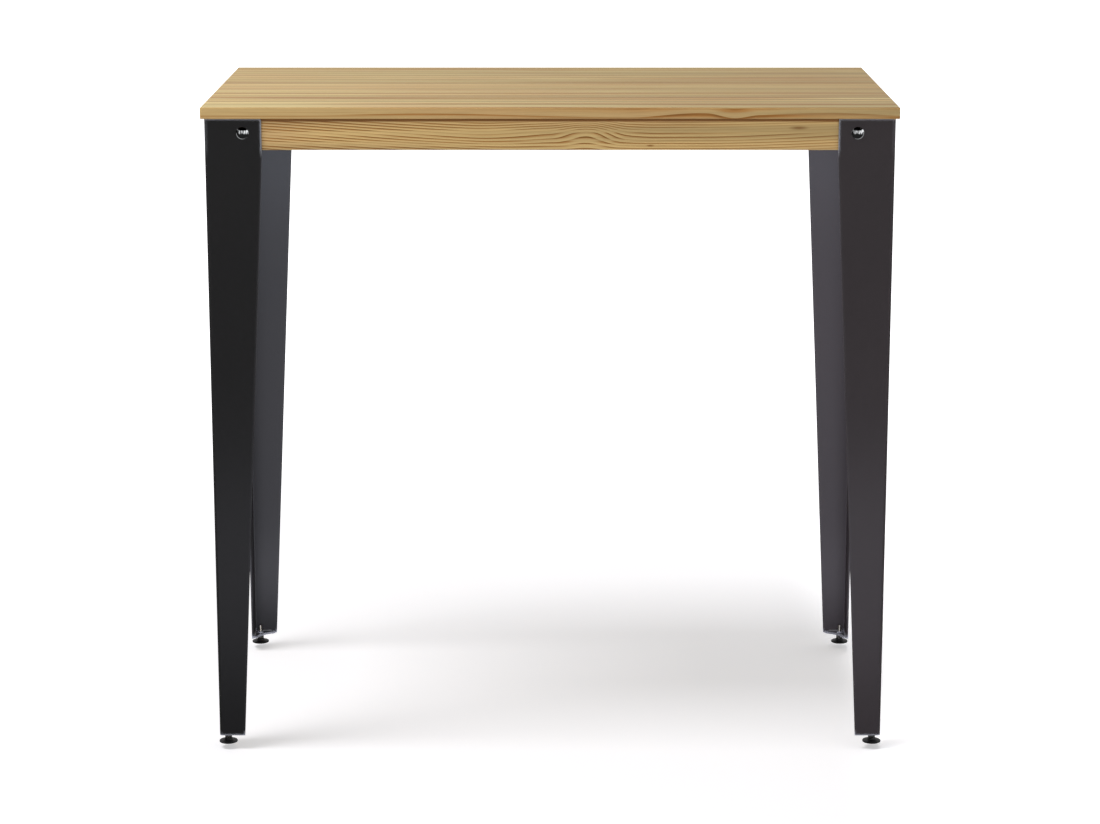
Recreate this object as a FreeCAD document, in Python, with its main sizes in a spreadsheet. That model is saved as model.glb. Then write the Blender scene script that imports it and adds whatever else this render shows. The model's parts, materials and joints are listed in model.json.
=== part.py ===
import FreeCAD, Part
import os
import re
import Sketcher
from FreeCAD import Placement, Rotation, Vector

# Bar table: a pine board on a pine frame, carried by four folded steel corner legs.
# Lengths are in millimetres. X runs along the board, the front faces -Y and Z is up.
# The origin lies on the floor, under the middle of the board.

SIZES = {
    # Board of pine staves, glued edge to edge
    "top_length": 1100,
    "top_width": 590,
    "top_thickness": 18,
    "top_arris": 1.5,
    "stave_count": 8,
    # Frame under the board
    "apron_height": 50,
    "apron_thickness": 20,
    "apron_arris": 1,
    "rail_height": 40,
    # Folded corner legs: both plates taper from below the apron down to the foot
    "leg_length": 1020,
    "leg_inset": 5.5,
    "plate_thickness": 3,
    "plate_width": 90,
    "plate_foot_width": 42,
    "bend_radius": 5,
    "knee_drop": 55,
    "plate_corner_radius": 3,
    "plate_arris": 0.7,
    # Threaded plate welded into the lower end of each leg
    "foot_plate_reach": 36,
    "foot_plate_lip": 5,
    "foot_plate_sweep_radius": 45,
    "foot_plate_thickness": 3.5,
    "collar_diameter": 9,
    "collar_height": 2.5,
    # Levelling foot: a pad with a screw that turns in it
    "foot_centre": 13,
    "foot_pad_diameter": 30,
    "foot_pad_rim": 2.4,
    "foot_pad_rise": 1.4,
    "foot_pad_height": 7.4,
    "foot_pad_chamfer": 0.6,
    "foot_hub_diameter": 15,
    "foot_hub_top_diameter": 12,
    "stud_diameter": 6,
    "stud_length": 17.5,
    "stud_chamfer": 0.8,
    "stud_hex_width": 10,
    "stud_hex_height": 6,
    "pin_length": 4.5,
    # Coach bolts with their washers and nuts
    "bolt_diameter": 8,
    "bolt_length": 35,
    "bolt_head_diameter": 20,
    "bolt_head_height": 5,
    "bolt_head_rim": 0.9,
    "bolt_chamfer": 1,
    "bolt_reach": 60,
    "bolt_drop": 23,
    "neck_side": 8.5,
    "neck_depth": 5.5,
    "washer_diameter": 24,
    "washer_thickness": 2,
    "nut_width": 13,
    "nut_height": 6.5,
    # Dowels of the frame's corners and of the rail's ends
    "dowel_diameter": 8,
    "dowel_length": 35,
    "dowel_bite": 12,
    "dowel_spacing": 20,
    "dowel_chamfer": 1,
    # Wood screws that hold the board down on the frame
    "screw_diameter": 4,
    "screw_length": 40,
    "screw_bite": 13,
    "screw_tip": 5,
    "screw_head_diameter": 8,
    "screw_head_height": 2.6,
    "screw_head_top_diameter": 5,
    "screw_head_rim": 0.8,
    "screw_bore_diameter": 10,
    # Fits
    "neck_clearance": 0.2,
    "washer_clearance": 0.3,
    "wood_clearance": 0.4,
    "dowel_clearance": 0.1,
    "thread_clearance": 0.08,
    "pivot_clearance": 0.1,
    "foot_gap": 0.3,
    "overrun": 2,
}

# Where the screws stand along the long aprons, as shares of the board's length,
# and how many stave widths they stand off the middle in the short aprons and the rail
LONG_SCREW_SHARES = (-0.35, -0.13, 0.13, 0.35)
SHORT_SCREW_SHARES = (-1.5, 1.5)
# How far round a hexagon's flats its chamfer reaches in, as a share of its width
HEX_CROWN_SHARE = 0.475

# Sizes that follow from the ones above
LEG_BOTTOM = "(foot_pad_height + foot_gap + stud_hex_height + foot_gap)"
BOARD_UNDERSIDE = f"({LEG_BOTTOM} + leg_length)"
HALF_LENGTH = "(top_length / 2 - leg_inset)"
HALF_WIDTH = "(top_width / 2 - leg_inset)"
BEND_INSIDE = "(bend_radius - plate_thickness)"
APRON_INSIDE = "(plate_thickness + apron_thickness)"
APRON_MIDDLE = "(plate_thickness + apron_thickness / 2)"
STAVE_WIDTH = "(top_width / stave_count)"

# Each corner's side of the table along X and along Y, anticlockwise from the front left one,
# so that what stands in each is turned a quarter further
CORNERS = {
    "front_left": (-1, -1),
    "front_right": (1, -1),
    "back_right": (1, 1),
    "back_left": (-1, 1),
}

# How a sketch numbers its own axes and the points of a line or an arc
H_AXIS, V_AXIS = range(-1, -3, -1)
START, END, CENTRE = range(1, 4)
ORIGIN = (H_AXIS, START)
UPRIGHT = Rotation()
TO_BACK = Rotation(Vector(1, 0, 0), -90)
TO_FRONT = Rotation(Vector(1, 0, 0), 90)
TO_RIGHT = Rotation(Vector(0, 1, 0), 90)

doc = FreeCAD.newDocument("bar_table")
sheet = doc.addObject("Spreadsheet::Sheet", "Sizes")
for row, (alias, number) in enumerate(SIZES.items(), start=1):
    sheet.set(f"A{row}", alias)
    sheet.set(f"B{row}", str(number))
    sheet.setAlias(f"B{row}", alias)
doc.recompute()


def bound(rule):
    """A rule written in the names of sizes, with each name pointed at its cell."""
    return re.sub(r"[a-z]\w+", lambda word: f"Sizes.{word[0]}" if word[0] in SIZES else word[0], rule)


def amount(rule):
    """What a rule comes to."""
    return float(sheet.evalExpression(bound(rule)))


def tie(thing, field, rule):
    thing.setExpression(field, bound(rule))


def place(piece, x, y, z, turn=UPRIGHT):
    """Stands a piece at a point given by rules, turned from its own upright frame."""
    piece.Placement = Placement(Vector(amount(x), amount(y), amount(z)), turn)
    for axis, rule in zip("xyz", (x, y, z)):
        tie(piece, f"Placement.Base.{axis}", rule)
    return piece


def place_in_corner(piece, corner, z):
    """Puts a piece drawn from a leg's outer corner, its plates along +X and +Y, at a table corner."""
    side, depth = CORNERS[corner]
    turn = Rotation(Vector(0, 0, 1), 90 * list(CORNERS).index(corner))
    return place(piece, f"{side} * {HALF_LENGTH}", f"{depth} * {HALF_WIDTH}", z, turn)


# Sketches

def new_sketch(body, name, role, lift="0"):
    """An empty sketch on one of the body's own planes, lifted off it by a rule."""
    sketch = body.newObject("Sketcher::SketchObject", name)
    plane = next(item for item in body.Origin.OriginFeatures if item.Role == role)
    sketch.AttachmentSupport = [(plane, "")]
    sketch.MapMode = "FlatFace"
    tie(sketch, "AttachmentOffset.Base.z", lift)
    return sketch


def hold(sketch, item, end, across, up):
    """Ties a point of a sketch to its distances from the origin."""
    for kind, axis, rule in (("DistanceX", V_AXIS, across), ("DistanceY", H_AXIS, up)):
        if amount(rule) == 0:
            sketch.addConstraint(Sketcher.Constraint("PointOnObject", item, end, axis))
            continue
        number = sketch.addConstraint(Sketcher.Constraint(kind, *ORIGIN, item, end, amount(rule)))
        tie(sketch, f"Constraints[{number}]", rule)


def hold_radius(sketch, item, rule):
    number = sketch.addConstraint(Sketcher.Constraint("Radius", item, amount(rule)))
    tie(sketch, f"Constraints[{number}]", rule)


def arc_between(first, second, radius, bulge):
    """The arc of a radius from one point to another, under half a turn.

    A bulge of 1 turns it anticlockwise and -1 clockwise. The arc itself always runs anticlockwise,
    so a clockwise one is drawn from the second point to the first.
    """
    start, end = (first, second) if bulge > 0 else (second, first)
    chord = end - start
    height = (radius ** 2 - (chord.Length / 2) ** 2) ** 0.5
    centre = (start + end) / 2 + Vector(-chord.y, chord.x, 0).normalize() * height
    circle = Part.Circle(centre, Vector(0, 0, 1), radius)
    return Part.ArcOfCircle(circle, circle.parameter(start), circle.parameter(end))


def outline(body, name, role, corners, arcs=None, lift="0"):
    """A closed outline through corners given by rules.

    Straight, or an arc of a radius and bulge on the edges that arcs numbers by their first corner.
    """
    arcs = arcs or {}
    sketch = new_sketch(body, name, role, lift)
    points = [Vector(amount(across), amount(up), 0) for across, up in corners]
    ends = []
    for edge, first in enumerate(points):
        second = points[(edge + 1) % len(points)]
        if edge in arcs:
            radius, bulge = arcs[edge]
            sketch.addGeometry(arc_between(first, second, amount(radius), bulge))
            ends.append((START, END) if bulge > 0 else (END, START))
        else:
            sketch.addGeometry(Part.LineSegment(first, second))
            ends.append((START, END))
    for edge in range(len(points)):
        following = (edge + 1) % len(points)
        joint = (edge, ends[edge][1], following, ends[following][0])
        sketch.addConstraint(Sketcher.Constraint("Coincident", *joint))
    for edge, (across, up) in enumerate(corners):
        hold(sketch, edge, ends[edge][0], across, up)
    for edge, (radius, _) in arcs.items():
        hold_radius(sketch, edge, radius)
    return sketch


def circle(body, name, role, across, up, radius, lift="0"):
    sketch = new_sketch(body, name, role, lift)
    middle = Vector(amount(across), amount(up), 0)
    sketch.addGeometry(Part.Circle(middle, Vector(0, 0, 1), amount(radius)))
    hold(sketch, 0, CENTRE, across, up)
    hold_radius(sketch, 0, radius)
    return sketch


def rectangle(body, name, role, left, low, right, high, lift="0"):
    corners = [(left, low), (right, low), (right, high), (left, high)]
    return outline(body, name, role, corners, lift=lift)


def hexagon(body, name, width, lift="0"):
    """A hexagon round the body's upright axis, of a width across its flats."""
    reach = f"{width} / sqrt(3)"
    half = f"{width} / 2"
    corners = [
        (reach, "0"),
        (f"{reach} / 2", half),
        (f"-({reach}) / 2", half),
        (f"-({reach})", "0"),
        (f"-({reach}) / 2", f"-({half})"),
        (f"{reach} / 2", f"-({half})"),
    ]
    return outline(body, name, "XY_Plane", corners, lift=lift)


# Features

def new_body(name):
    return doc.addObject("PartDesign::Body", name)


def pad(body, sketch, length, both_ways=False):
    feature = body.newObject("PartDesign::Pad", f"{sketch.Name}_pad")
    feature.Profile = sketch
    tie(feature, "Length", length)
    if both_ways:
        feature.SideType = "Symmetric"
    return feature


def cut_through(body, sketch):
    """Cuts a sketch's outline out of the body, both ways from its plane."""
    feature = body.newObject("PartDesign::Pocket", f"{sketch.Name}_cut")
    feature.Profile = sketch
    feature.SideType = "Symmetric"
    feature.Type = "ThroughAll"
    return feature


def turned(body, sketch, kind="Revolution"):
    """Turns an outline round the upright axis, as metal or, for a Groove, as a cut."""
    feature = body.newObject(f"PartDesign::{kind}", f"{sketch.Name}_turned")
    feature.Profile = sketch
    feature.ReferenceAxis = (sketch, ["V_Axis"])
    feature.Angle = 360
    return feature


def eased(body, name, kind, field, rule, chosen):
    """Fillets or chamfers the edges of the body so far that the chosen test picks."""
    doc.recompute()
    base = body.Tip
    edges = [f"Edge{number}" for number, edge in enumerate(base.Shape.Edges, start=1) if chosen(edge)]
    feature = body.newObject(f"PartDesign::{kind}", name)
    feature.Base = (base, edges)
    tie(feature, field, rule)
    return feature


def is_sharp(shape, edge):
    """Whether the faces beside an edge meet at more than a slight angle."""
    middle = edge.valueAt((edge.FirstParameter + edge.LastParameter) / 2)
    first, second = (face.normalAt(*face.Surface.parameter(middle))
                     for face in shape.ancestorsOfType(edge, Part.Face))
    return abs(first.dot(second)) < 0.9


def runs_along(edge, axis):
    """Whether an edge is straight and runs along an axis."""
    if not isinstance(edge.Curve, Part.Line):
        return False
    return edge.Curve.Direction.cross(axis).Length < 1e-6


def crown_hexagon(body, name, width, bottom, top):
    """Turns the corners of a hexagon off at both of its ends, at 30 degrees."""
    inner = f"{width} * {HEX_CROWN_SHARE}"
    outer = f"({width} / sqrt(3) + overrun)"
    rise = f"({outer} - {inner}) * tan(30 deg)"
    for end, level, slope in (("lower", bottom, f"{bottom} + {rise}"), ("upper", top, f"{top} - {rise}")):
        corners = [(inner, level), (outer, level), (outer, slope)]
        turned(body, outline(body, f"{name}_{end}_crown", "XZ_Plane", corners), "Groove")


# Copies of one piece

def group(name, pieces):
    """Separate solids under one name."""
    compound = doc.addObject("Part::Compound", name)
    compound.Links = pieces
    return compound


def copy_at(source, x, y, z, turn=UPRIGHT):
    link = doc.addObject("App::Link", f"{source.Name}_copy")
    link.LinkedObject = source
    return place(link, x, y, z, turn)


def on_both_plates(source, offset):
    """A piece whose axis is +Z, stood on both plates of a leg, offset inwards from their outside."""
    front = copy_at(source, "bolt_reach", offset, f"{BOARD_UNDERSIDE} - bolt_drop", TO_BACK)
    side = copy_at(source, offset, "bolt_reach", f"{BOARD_UNDERSIDE} - bolt_drop", TO_RIGHT)
    return group(f"{source.Name}_pair", [front, side])


def at_every_corner(name, source):
    """Copies of what is drawn from a leg's outer corner, one at each corner of the table."""
    links = []
    for corner in CORNERS:
        link = doc.addObject("App::Link", f"{source.Name}_{corner}")
        link.LinkedObject = source
        links.append(place_in_corner(link, corner, "0"))
    return group(name, links)


# Fastenings, each drawn along +Z

def coach_bolt():
    """A domed head under z = 0, a square neck above it and a round shank."""
    body = new_body("coach_bolt")
    radius = "bolt_head_diameter / 2"
    dome = "(bolt_head_height - bolt_head_rim)"
    dome_radius = f"(({radius}) ^ 2 + {dome} ^ 2) / (2 * {dome})"
    corners = [("0", "0"), ("0", "-bolt_head_height"), (radius, "-bolt_head_rim"), (radius, "0")]
    turned(body, outline(body, "bolt_head", "XZ_Plane", corners, {1: (dome_radius, 1)}))
    half = "neck_side / 2"
    neck = rectangle(body, "bolt_neck", "XY_Plane", f"-{half}", f"-{half}", half, half)
    pad(body, neck, "neck_depth")
    shank = circle(body, "bolt_shank", "XY_Plane", "0", "0", "bolt_diameter / 2", "neck_depth")
    pad(body, shank, "bolt_length - neck_depth")
    tip = amount("bolt_length")
    eased(body, "bolt_tip", "Chamfer", "Size", "bolt_chamfer", lambda edge: edge.CenterOfMass.z > tip - 1e-6)
    return body


def bolt_washer():
    body = new_body("bolt_washer")
    disc = circle(body, "washer_disc", "XY_Plane", "0", "0", "washer_diameter / 2")
    pad(body, disc, "washer_thickness")
    bore = circle(body, "washer_bore", "XY_Plane", "0", "0", "bolt_diameter / 2 + washer_clearance")
    cut_through(body, bore)
    return body


def hex_nut():
    body = new_body("hex_nut")
    pad(body, hexagon(body, "nut_hexagon", "nut_width"), "nut_height")
    crown_hexagon(body, "nut", "nut_width", "0", "nut_height")
    bore = circle(body, "nut_bore", "XY_Plane", "0", "0", "bolt_diameter / 2 + thread_clearance")
    cut_through(body, bore)
    return body


def dowel():
    body = new_body("dowel")
    pin = circle(body, "dowel_pin", "XY_Plane", "0", "0", "dowel_diameter / 2")
    pad(body, pin, "dowel_length")
    eased(body, "dowel_ends", "Chamfer", "Size", "dowel_chamfer", lambda edge: len(edge.Vertexes) == 1)
    return body


def wood_screw():
    """A pan head under z = 0 and a pointed shank above it."""
    body = new_body("wood_screw")
    head = "screw_head_diameter / 2"
    corners = [
        ("0", "-screw_head_height"),
        ("screw_head_top_diameter / 2", "-screw_head_height"),
        (head, "-screw_head_rim"),
        (head, "0"),
        ("screw_diameter / 2", "0"),
        ("screw_diameter / 2", "screw_length - screw_tip"),
        ("0", "screw_length"),
    ]
    turned(body, outline(body, "screw", "XZ_Plane", corners))
    return body


def bolt_drill():
    """The hole a coach bolt takes in an apron: square for its neck, then round."""
    body = new_body("bolt_drill")
    half = "(neck_side / 2 + neck_clearance)"
    recess = rectangle(body, "neck_recess", "XY_Plane", f"-{half}", f"-{half}", half, half)
    pad(body, recess, "neck_depth + neck_clearance")
    radius = "bolt_diameter / 2 + wood_clearance"
    hole = circle(body, "shank_hole", "XY_Plane", "0", "0", radius, "neck_depth + neck_clearance")
    pad(body, hole, f"{APRON_INSIDE} + overrun - neck_depth - neck_clearance")
    return body


def dowel_drill():
    body = new_body("dowel_drill")
    radius = "dowel_diameter / 2 + dowel_clearance"
    hole = circle(body, "dowel_hole", "XY_Plane", "0", "0", radius, "-dowel_clearance")
    pad(body, hole, "dowel_length + 2 * dowel_clearance")
    return body


def screw_drill():
    """A deep counterbore under z = 0 for the screw's head, then a hole for its shank."""
    body = new_body("screw_drill")
    depth = "-(apron_height + overrun)"
    narrow = "screw_diameter / 2 + dowel_clearance"
    corners = [
        ("0", depth),
        ("screw_bore_diameter / 2", depth),
        ("screw_bore_diameter / 2", "0"),
        (narrow, "0"),
        (narrow, "screw_length + dowel_clearance"),
        ("0", "screw_length + dowel_clearance"),
    ]
    turned(body, outline(body, "screw_hole", "XZ_Plane", corners))
    return body


def dowels_in_place(name, source):
    """Two dowels, one over the other, at each end of both short aprons and of the rail."""
    short = f"({HALF_LENGTH} - {APRON_MIDDLE})"
    rows = ((f"-{short}", "apron_height"), ("0", "rail_height"), (short, "apron_height"))
    start = f"({HALF_WIDTH} - {APRON_INSIDE} + dowel_bite)"
    links = []
    for x, height in rows:
        for y, turn in ((f"-{start}", TO_BACK), (start, TO_FRONT)):
            for sign in "-+":
                z = f"{BOARD_UNDERSIDE} - {height} / 2 {sign} dowel_spacing / 2"
                links.append(copy_at(source, x, y, z, turn))
    return group(name, links)


def screws_in_place(name, source):
    """Screws up through the four aprons and the rail into the board."""
    spots = []
    for depth in "-+":
        for share in LONG_SCREW_SHARES:
            spots.append((f"{share} * top_length", f"{depth}({HALF_WIDTH} - {APRON_MIDDLE})"))
    short = f"({HALF_LENGTH} - {APRON_MIDDLE})"
    for x in (f"-{short}", "0", short):
        for share in SHORT_SCREW_SHARES:
            spots.append((x, f"{share} * {STAVE_WIDTH}"))
    z = f"{BOARD_UNDERSIDE} + screw_bite - screw_length"
    return group(name, [copy_at(source, x, y, z) for x, y in spots])


# Wood

def board():
    """The whole board, planed to size and eased all round, before it is bored."""
    body = new_body("board")
    half_length, half_width = "top_length / 2", "top_width / 2"
    face = rectangle(body, "board_face", "XY_Plane", f"-{half_length}", f"-{half_width}", half_length, half_width)
    pad(body, face, "top_thickness")
    eased(body, "board_arris", "Fillet", "Radius", "top_arris", lambda edge: True)
    return place(body, "0", "0", BOARD_UNDERSIDE)


def rail_blank(name, length, height, corner_relief):
    """A length of pine along X under z = 0, outer face at y = 0, its lower edges eased.

    With corner relief its outer ends are cut off slantwise to clear the inside of the legs' bends.
    """
    body = new_body(f"{name}_blank")
    half = f"{length} / 2"
    front = [(f"-{half}", "0"), (half, "0")]
    if corner_relief:
        front = [
            (f"-{half}", BEND_INSIDE),
            (f"-({half} - {BEND_INSIDE})", "0"),
            (f"{half} - {BEND_INSIDE}", "0"),
            (half, BEND_INSIDE),
        ]
    back = [(half, "apron_thickness"), (f"-{half}", "apron_thickness")]
    pad(body, outline(body, f"{name}_plan", "XY_Plane", front + back, lift=f"-{height}"), height)
    low = -amount(height)
    eased(body, f"{name}_arris", "Fillet", "Radius", "apron_arris",
          lambda edge: runs_along(edge, Vector(1, 0, 0)) and edge.CenterOfMass.z < low + 1e-6)
    return body


def bored(name, blank, drills):
    """A piece of wood with its share of the holes."""
    piece = doc.addObject("Part::Cut", name)
    piece.Base = blank
    piece.Tool = drills
    return piece


def frame_pieces(drills):
    """The long aprons run the full length, and the short ones and the rail stand between them."""
    long_length = f"(2 * ({HALF_LENGTH} - plate_thickness))"
    short_length = f"(2 * ({HALF_WIDTH} - {APRON_INSIDE}))"
    out = f"({HALF_WIDTH} - plate_thickness)"
    side = f"({HALF_LENGTH} - plate_thickness)"
    rows = (
        ("front_apron", long_length, "apron_height", True, "0", f"-{out}", 0),
        ("back_apron", long_length, "apron_height", True, "0", out, 180),
        ("left_apron", short_length, "apron_height", False, f"-{side}", "0", -90),
        ("right_apron", short_length, "apron_height", False, side, "0", 90),
        ("centre_rail", short_length, "rail_height", False, "-apron_thickness / 2", "0", -90),
    )
    pieces = []
    for name, length, height, relief, x, y, turn in rows:
        blank = rail_blank(name, length, height, relief)
        place(blank, x, y, BOARD_UNDERSIDE, Rotation(Vector(0, 0, 1), turn))
        pieces.append(bored(name, blank, drills))
    return pieces


def staves(drills):
    """The board parted at its glue lines, front stave first."""
    bored_board = bored("bored_board", board(), drills)
    pieces = []
    for number in range(int(amount("stave_count"))):
        strip = doc.addObject("Part::Box", f"strip_{number + 1}")
        tie(strip, "Length", "top_length")
        tie(strip, "Width", STAVE_WIDTH)
        tie(strip, "Height", "top_thickness")
        place(strip, "-top_length / 2", f"{number} * {STAVE_WIDTH} - top_width / 2", BOARD_UNDERSIDE)
        stave = doc.addObject("Part::Common", f"top_stave_{number + 1}")
        stave.Base = bored_board
        stave.Tool = strip
        pieces.append(stave)
    return pieces


# Steel legs and their feet, drawn from the leg's outer corner

def corner_leg(corner):
    """A plate folded lengthwise, tapered on both free edges, with a square hole in each plate."""
    name = f"{corner}_leg"
    body = new_body(name)
    fold = outline(
        body, f"{name}_fold", "XY_Plane",
        [
            ("bend_radius", "0"),
            ("plate_width", "0"),
            ("plate_width", "plate_thickness"),
            ("bend_radius", "plate_thickness"),
            ("plate_thickness", "bend_radius"),
            ("plate_thickness", "plate_width"),
            ("0", "plate_width"),
            ("0", "bend_radius"),
        ],
        {3: (BEND_INSIDE, -1), 7: ("bend_radius", 1)},
    )
    pad(body, fold, "leg_length")
    top = amount("leg_length")
    width = amount("plate_width")
    eased(body, f"{name}_corner", "Fillet", "Radius", "plate_corner_radius",
          lambda edge: max(edge.CenterOfMass.x, edge.CenterOfMass.y) > width - 1e-6
          and edge.CenterOfMass.z > top - 1e-6)
    knee = "(leg_length - knee_drop)"
    clear = "(plate_width + overrun)"
    for side, role in (("front", "XZ_Plane"), ("side", "YZ_Plane")):
        offcut = [
            ("plate_width", knee),
            ("plate_foot_width", "0"),
            ("plate_foot_width", "-overrun"),
            (clear, "-overrun"),
            (clear, knee),
        ]
        cut_through(body, outline(body, f"{name}_{side}_taper", role, offcut))
    eased(body, f"{name}_arris", "Fillet", "Radius", "plate_arris",
          lambda edge: is_sharp(body.Tip.Shape, edge))
    half = "(neck_side / 2 + neck_clearance)"
    drop = "(leg_length - bolt_drop)"
    for side, role in (("front", "XZ_Plane"), ("side", "YZ_Plane")):
        hole = rectangle(body, f"{name}_{side}_hole", role, f"bolt_reach - {half}", f"{drop} - {half}",
                         f"bolt_reach + {half}", f"{drop} + {half}")
        cut_through(body, hole)
    return place_in_corner(body, corner, LEG_BOTTOM)


def foot_plate(corner):
    """A three-cornered plate in the leg's lower end, its free edge swept inwards.

    The stud runs in a threaded hole whose collar stands up from the plate.
    """
    name = f"{corner}_foot_plate"
    body = new_body(name)
    inside = "plate_thickness"
    reach = f"({inside} + foot_plate_reach)"
    lip = f"({inside} + foot_plate_lip)"
    plate = outline(
        body, f"{name}_outline", "XY_Plane",
        [
            ("bend_radius", inside),
            (reach, inside),
            (reach, lip),
            (lip, reach),
            (inside, reach),
            (inside, "bend_radius"),
        ],
        {2: ("foot_plate_sweep_radius", -1)},
    )
    pad(body, plate, "foot_plate_thickness")
    collar = circle(body, f"{name}_collar", "XY_Plane", "foot_centre", "foot_centre",
                    "collar_diameter / 2", "foot_plate_thickness")
    pad(body, collar, "collar_height")
    bore = circle(body, f"{name}_bore", "XY_Plane", "foot_centre", "foot_centre",
                  "stud_diameter / 2 + thread_clearance")
    cut_through(body, bore)
    return place_in_corner(body, corner, LEG_BOTTOM)


def place_under_leg(piece, corner, z):
    """Stands a piece drawn on its own axis under the foot plate's hole."""
    side, depth = CORNERS[corner]
    x = f"{side} * ({HALF_LENGTH} - foot_centre)"
    y = f"{depth} * ({HALF_WIDTH} - foot_centre)"
    return place(piece, x, y, z)


def foot_pad(corner):
    """A disc with a hub, bored from above for the screw's lower end."""
    name = f"{corner}_foot_pad"
    body = new_body(name)
    radius = "foot_pad_diameter / 2"
    bore = "(stud_diameter / 2 + pivot_clearance)"
    corners = [
        ("0", "0"),
        (f"{radius} - foot_pad_chamfer", "0"),
        (radius, "foot_pad_chamfer"),
        (radius, "foot_pad_rim - foot_pad_chamfer"),
        (f"{radius} - foot_pad_chamfer", "foot_pad_rim"),
        ("foot_hub_diameter / 2", "foot_pad_rim + foot_pad_rise"),
        ("foot_hub_top_diameter / 2", "foot_pad_height - foot_pad_chamfer"),
        ("foot_hub_top_diameter / 2 - foot_pad_chamfer", "foot_pad_height"),
        (bore, "foot_pad_height"),
        (bore, "foot_pad_height - pin_length"),
        ("0", "foot_pad_height - pin_length"),
    ]
    turned(body, outline(body, f"{name}_section", "XZ_Plane", corners))
    return place_under_leg(body, corner, "0")


def foot_stud(corner):
    """A screw with a hexagon for the spanner, and a plain pin below it that turns in the pad."""
    name = f"{corner}_foot_stud"
    body = new_body(name)
    pad(body, hexagon(body, f"{name}_hexagon", "stud_hex_width"), "stud_hex_height")
    crown_hexagon(body, name, "stud_hex_width", "0", "stud_hex_height")
    shank = circle(body, f"{name}_shank", "XY_Plane", "0", "0", "stud_diameter / 2", "stud_hex_height")
    pad(body, shank, "stud_length")
    pin = circle(body, f"{name}_pin", "XY_Plane", "0", "0", "stud_diameter / 2", "-pin_length")
    pad(body, pin, "pin_length")
    top = amount("stud_hex_height + stud_length")
    eased(body, f"{name}_tip", "Chamfer", "Size", "stud_chamfer", lambda edge: edge.CenterOfMass.z > top - 1e-6)
    return place_under_leg(body, corner, "foot_pad_height + foot_gap")


# The table, piece by piece

bolt_drills = at_every_corner("bolt_drills", on_both_plates(bolt_drill(), "0"))
dowel_drills = dowels_in_place("dowel_drills", dowel_drill())
screw_drills = screws_in_place("screw_drills", screw_drill())
drills = group("drills", [bolt_drills, dowel_drills, screw_drills])

pieces = staves(drills) + frame_pieces(drills)
for corner in CORNERS:
    pieces += [corner_leg(corner), foot_plate(corner), foot_pad(corner), foot_stud(corner)]
pieces += [
    at_every_corner("coach_bolts", on_both_plates(coach_bolt(), "0")),
    at_every_corner("bolt_washers", on_both_plates(bolt_washer(), APRON_INSIDE)),
    at_every_corner("hex_nuts", on_both_plates(hex_nut(), f"{APRON_INSIDE} + washer_thickness")),
    dowels_in_place("frame_dowels", dowel()),
    screws_in_place("top_screws", wood_screw()),
]

doc.recompute()
failed = [item.Label for item in doc.Objects if {"Invalid", "Error"} & set(item.State)]
failed += [piece.Label for piece in pieces if piece.Shape.isNull() or not piece.Shape.isValid()]
if failed:
    raise RuntimeError(f"these did not build: {failed}")

os.makedirs("parts", exist_ok=True)
for piece in pieces:
    piece.Shape.exportStep(f"parts/{piece.Label}.step")
print(f"{len(pieces)} pieces written")
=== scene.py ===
import functools
import json
import math
from typing import NamedTuple

import bpy
import numpy as np
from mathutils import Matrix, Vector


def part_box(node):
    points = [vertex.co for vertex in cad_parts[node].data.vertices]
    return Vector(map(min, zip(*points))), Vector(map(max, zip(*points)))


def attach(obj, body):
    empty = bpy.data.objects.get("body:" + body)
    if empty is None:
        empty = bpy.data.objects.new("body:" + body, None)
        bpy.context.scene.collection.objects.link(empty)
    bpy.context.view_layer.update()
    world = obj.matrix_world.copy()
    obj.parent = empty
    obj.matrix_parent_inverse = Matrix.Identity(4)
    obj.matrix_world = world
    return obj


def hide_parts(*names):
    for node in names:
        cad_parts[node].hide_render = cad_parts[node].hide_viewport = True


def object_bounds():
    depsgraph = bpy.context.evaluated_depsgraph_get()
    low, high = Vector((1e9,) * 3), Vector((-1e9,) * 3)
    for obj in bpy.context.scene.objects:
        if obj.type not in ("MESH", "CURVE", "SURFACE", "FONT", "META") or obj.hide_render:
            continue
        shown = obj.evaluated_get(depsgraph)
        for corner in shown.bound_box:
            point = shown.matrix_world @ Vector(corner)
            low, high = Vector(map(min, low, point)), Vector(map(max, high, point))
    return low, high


# The finish of a bar table: pine board and frame, powder coated corner legs, bright fastenings
# and black levelling feet. Lengths are in metres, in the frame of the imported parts, unless a
# comment says millimetres.

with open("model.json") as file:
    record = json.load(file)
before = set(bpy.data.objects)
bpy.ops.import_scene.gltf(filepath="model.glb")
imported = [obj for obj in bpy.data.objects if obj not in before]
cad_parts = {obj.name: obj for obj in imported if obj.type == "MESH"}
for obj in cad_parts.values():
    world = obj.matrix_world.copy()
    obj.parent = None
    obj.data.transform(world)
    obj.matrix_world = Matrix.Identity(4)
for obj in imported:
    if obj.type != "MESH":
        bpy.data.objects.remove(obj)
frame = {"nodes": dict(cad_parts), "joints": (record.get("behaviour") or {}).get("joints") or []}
CAD_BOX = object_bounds()

bl_info = {
    "name": "Bar table finish",
    "version": (1, 0, 0),
    "blender": (4, 5, 0),
    "location": "3D View > Sidebar > Bar table",
    "description": "Finishes a bar table's wood and steel, and builds its fastenings and feet",
    "category": "Object",
}

MM = 0.001
UP = np.array([0.0, 0.0, 1.0])
UPRIGHT = np.eye(3)
CORNERS = ("front_left", "front_right", "back_right", "back_left")
STAVES = tuple(f"top_stave_{number}" for number in range(1, 9))


def linear(code):
    """An sRGB hex colour as linear red, green and blue."""
    shares = np.array([int(code[place:place + 2], 16) for place in (0, 2, 4)]) / 255
    bright = ((shares + 0.055) / 1.055) ** 2.4
    return tuple(float(share) for share in np.where(shares <= 0.04045, shares / 12.92, bright))


# What a user would change

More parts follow.
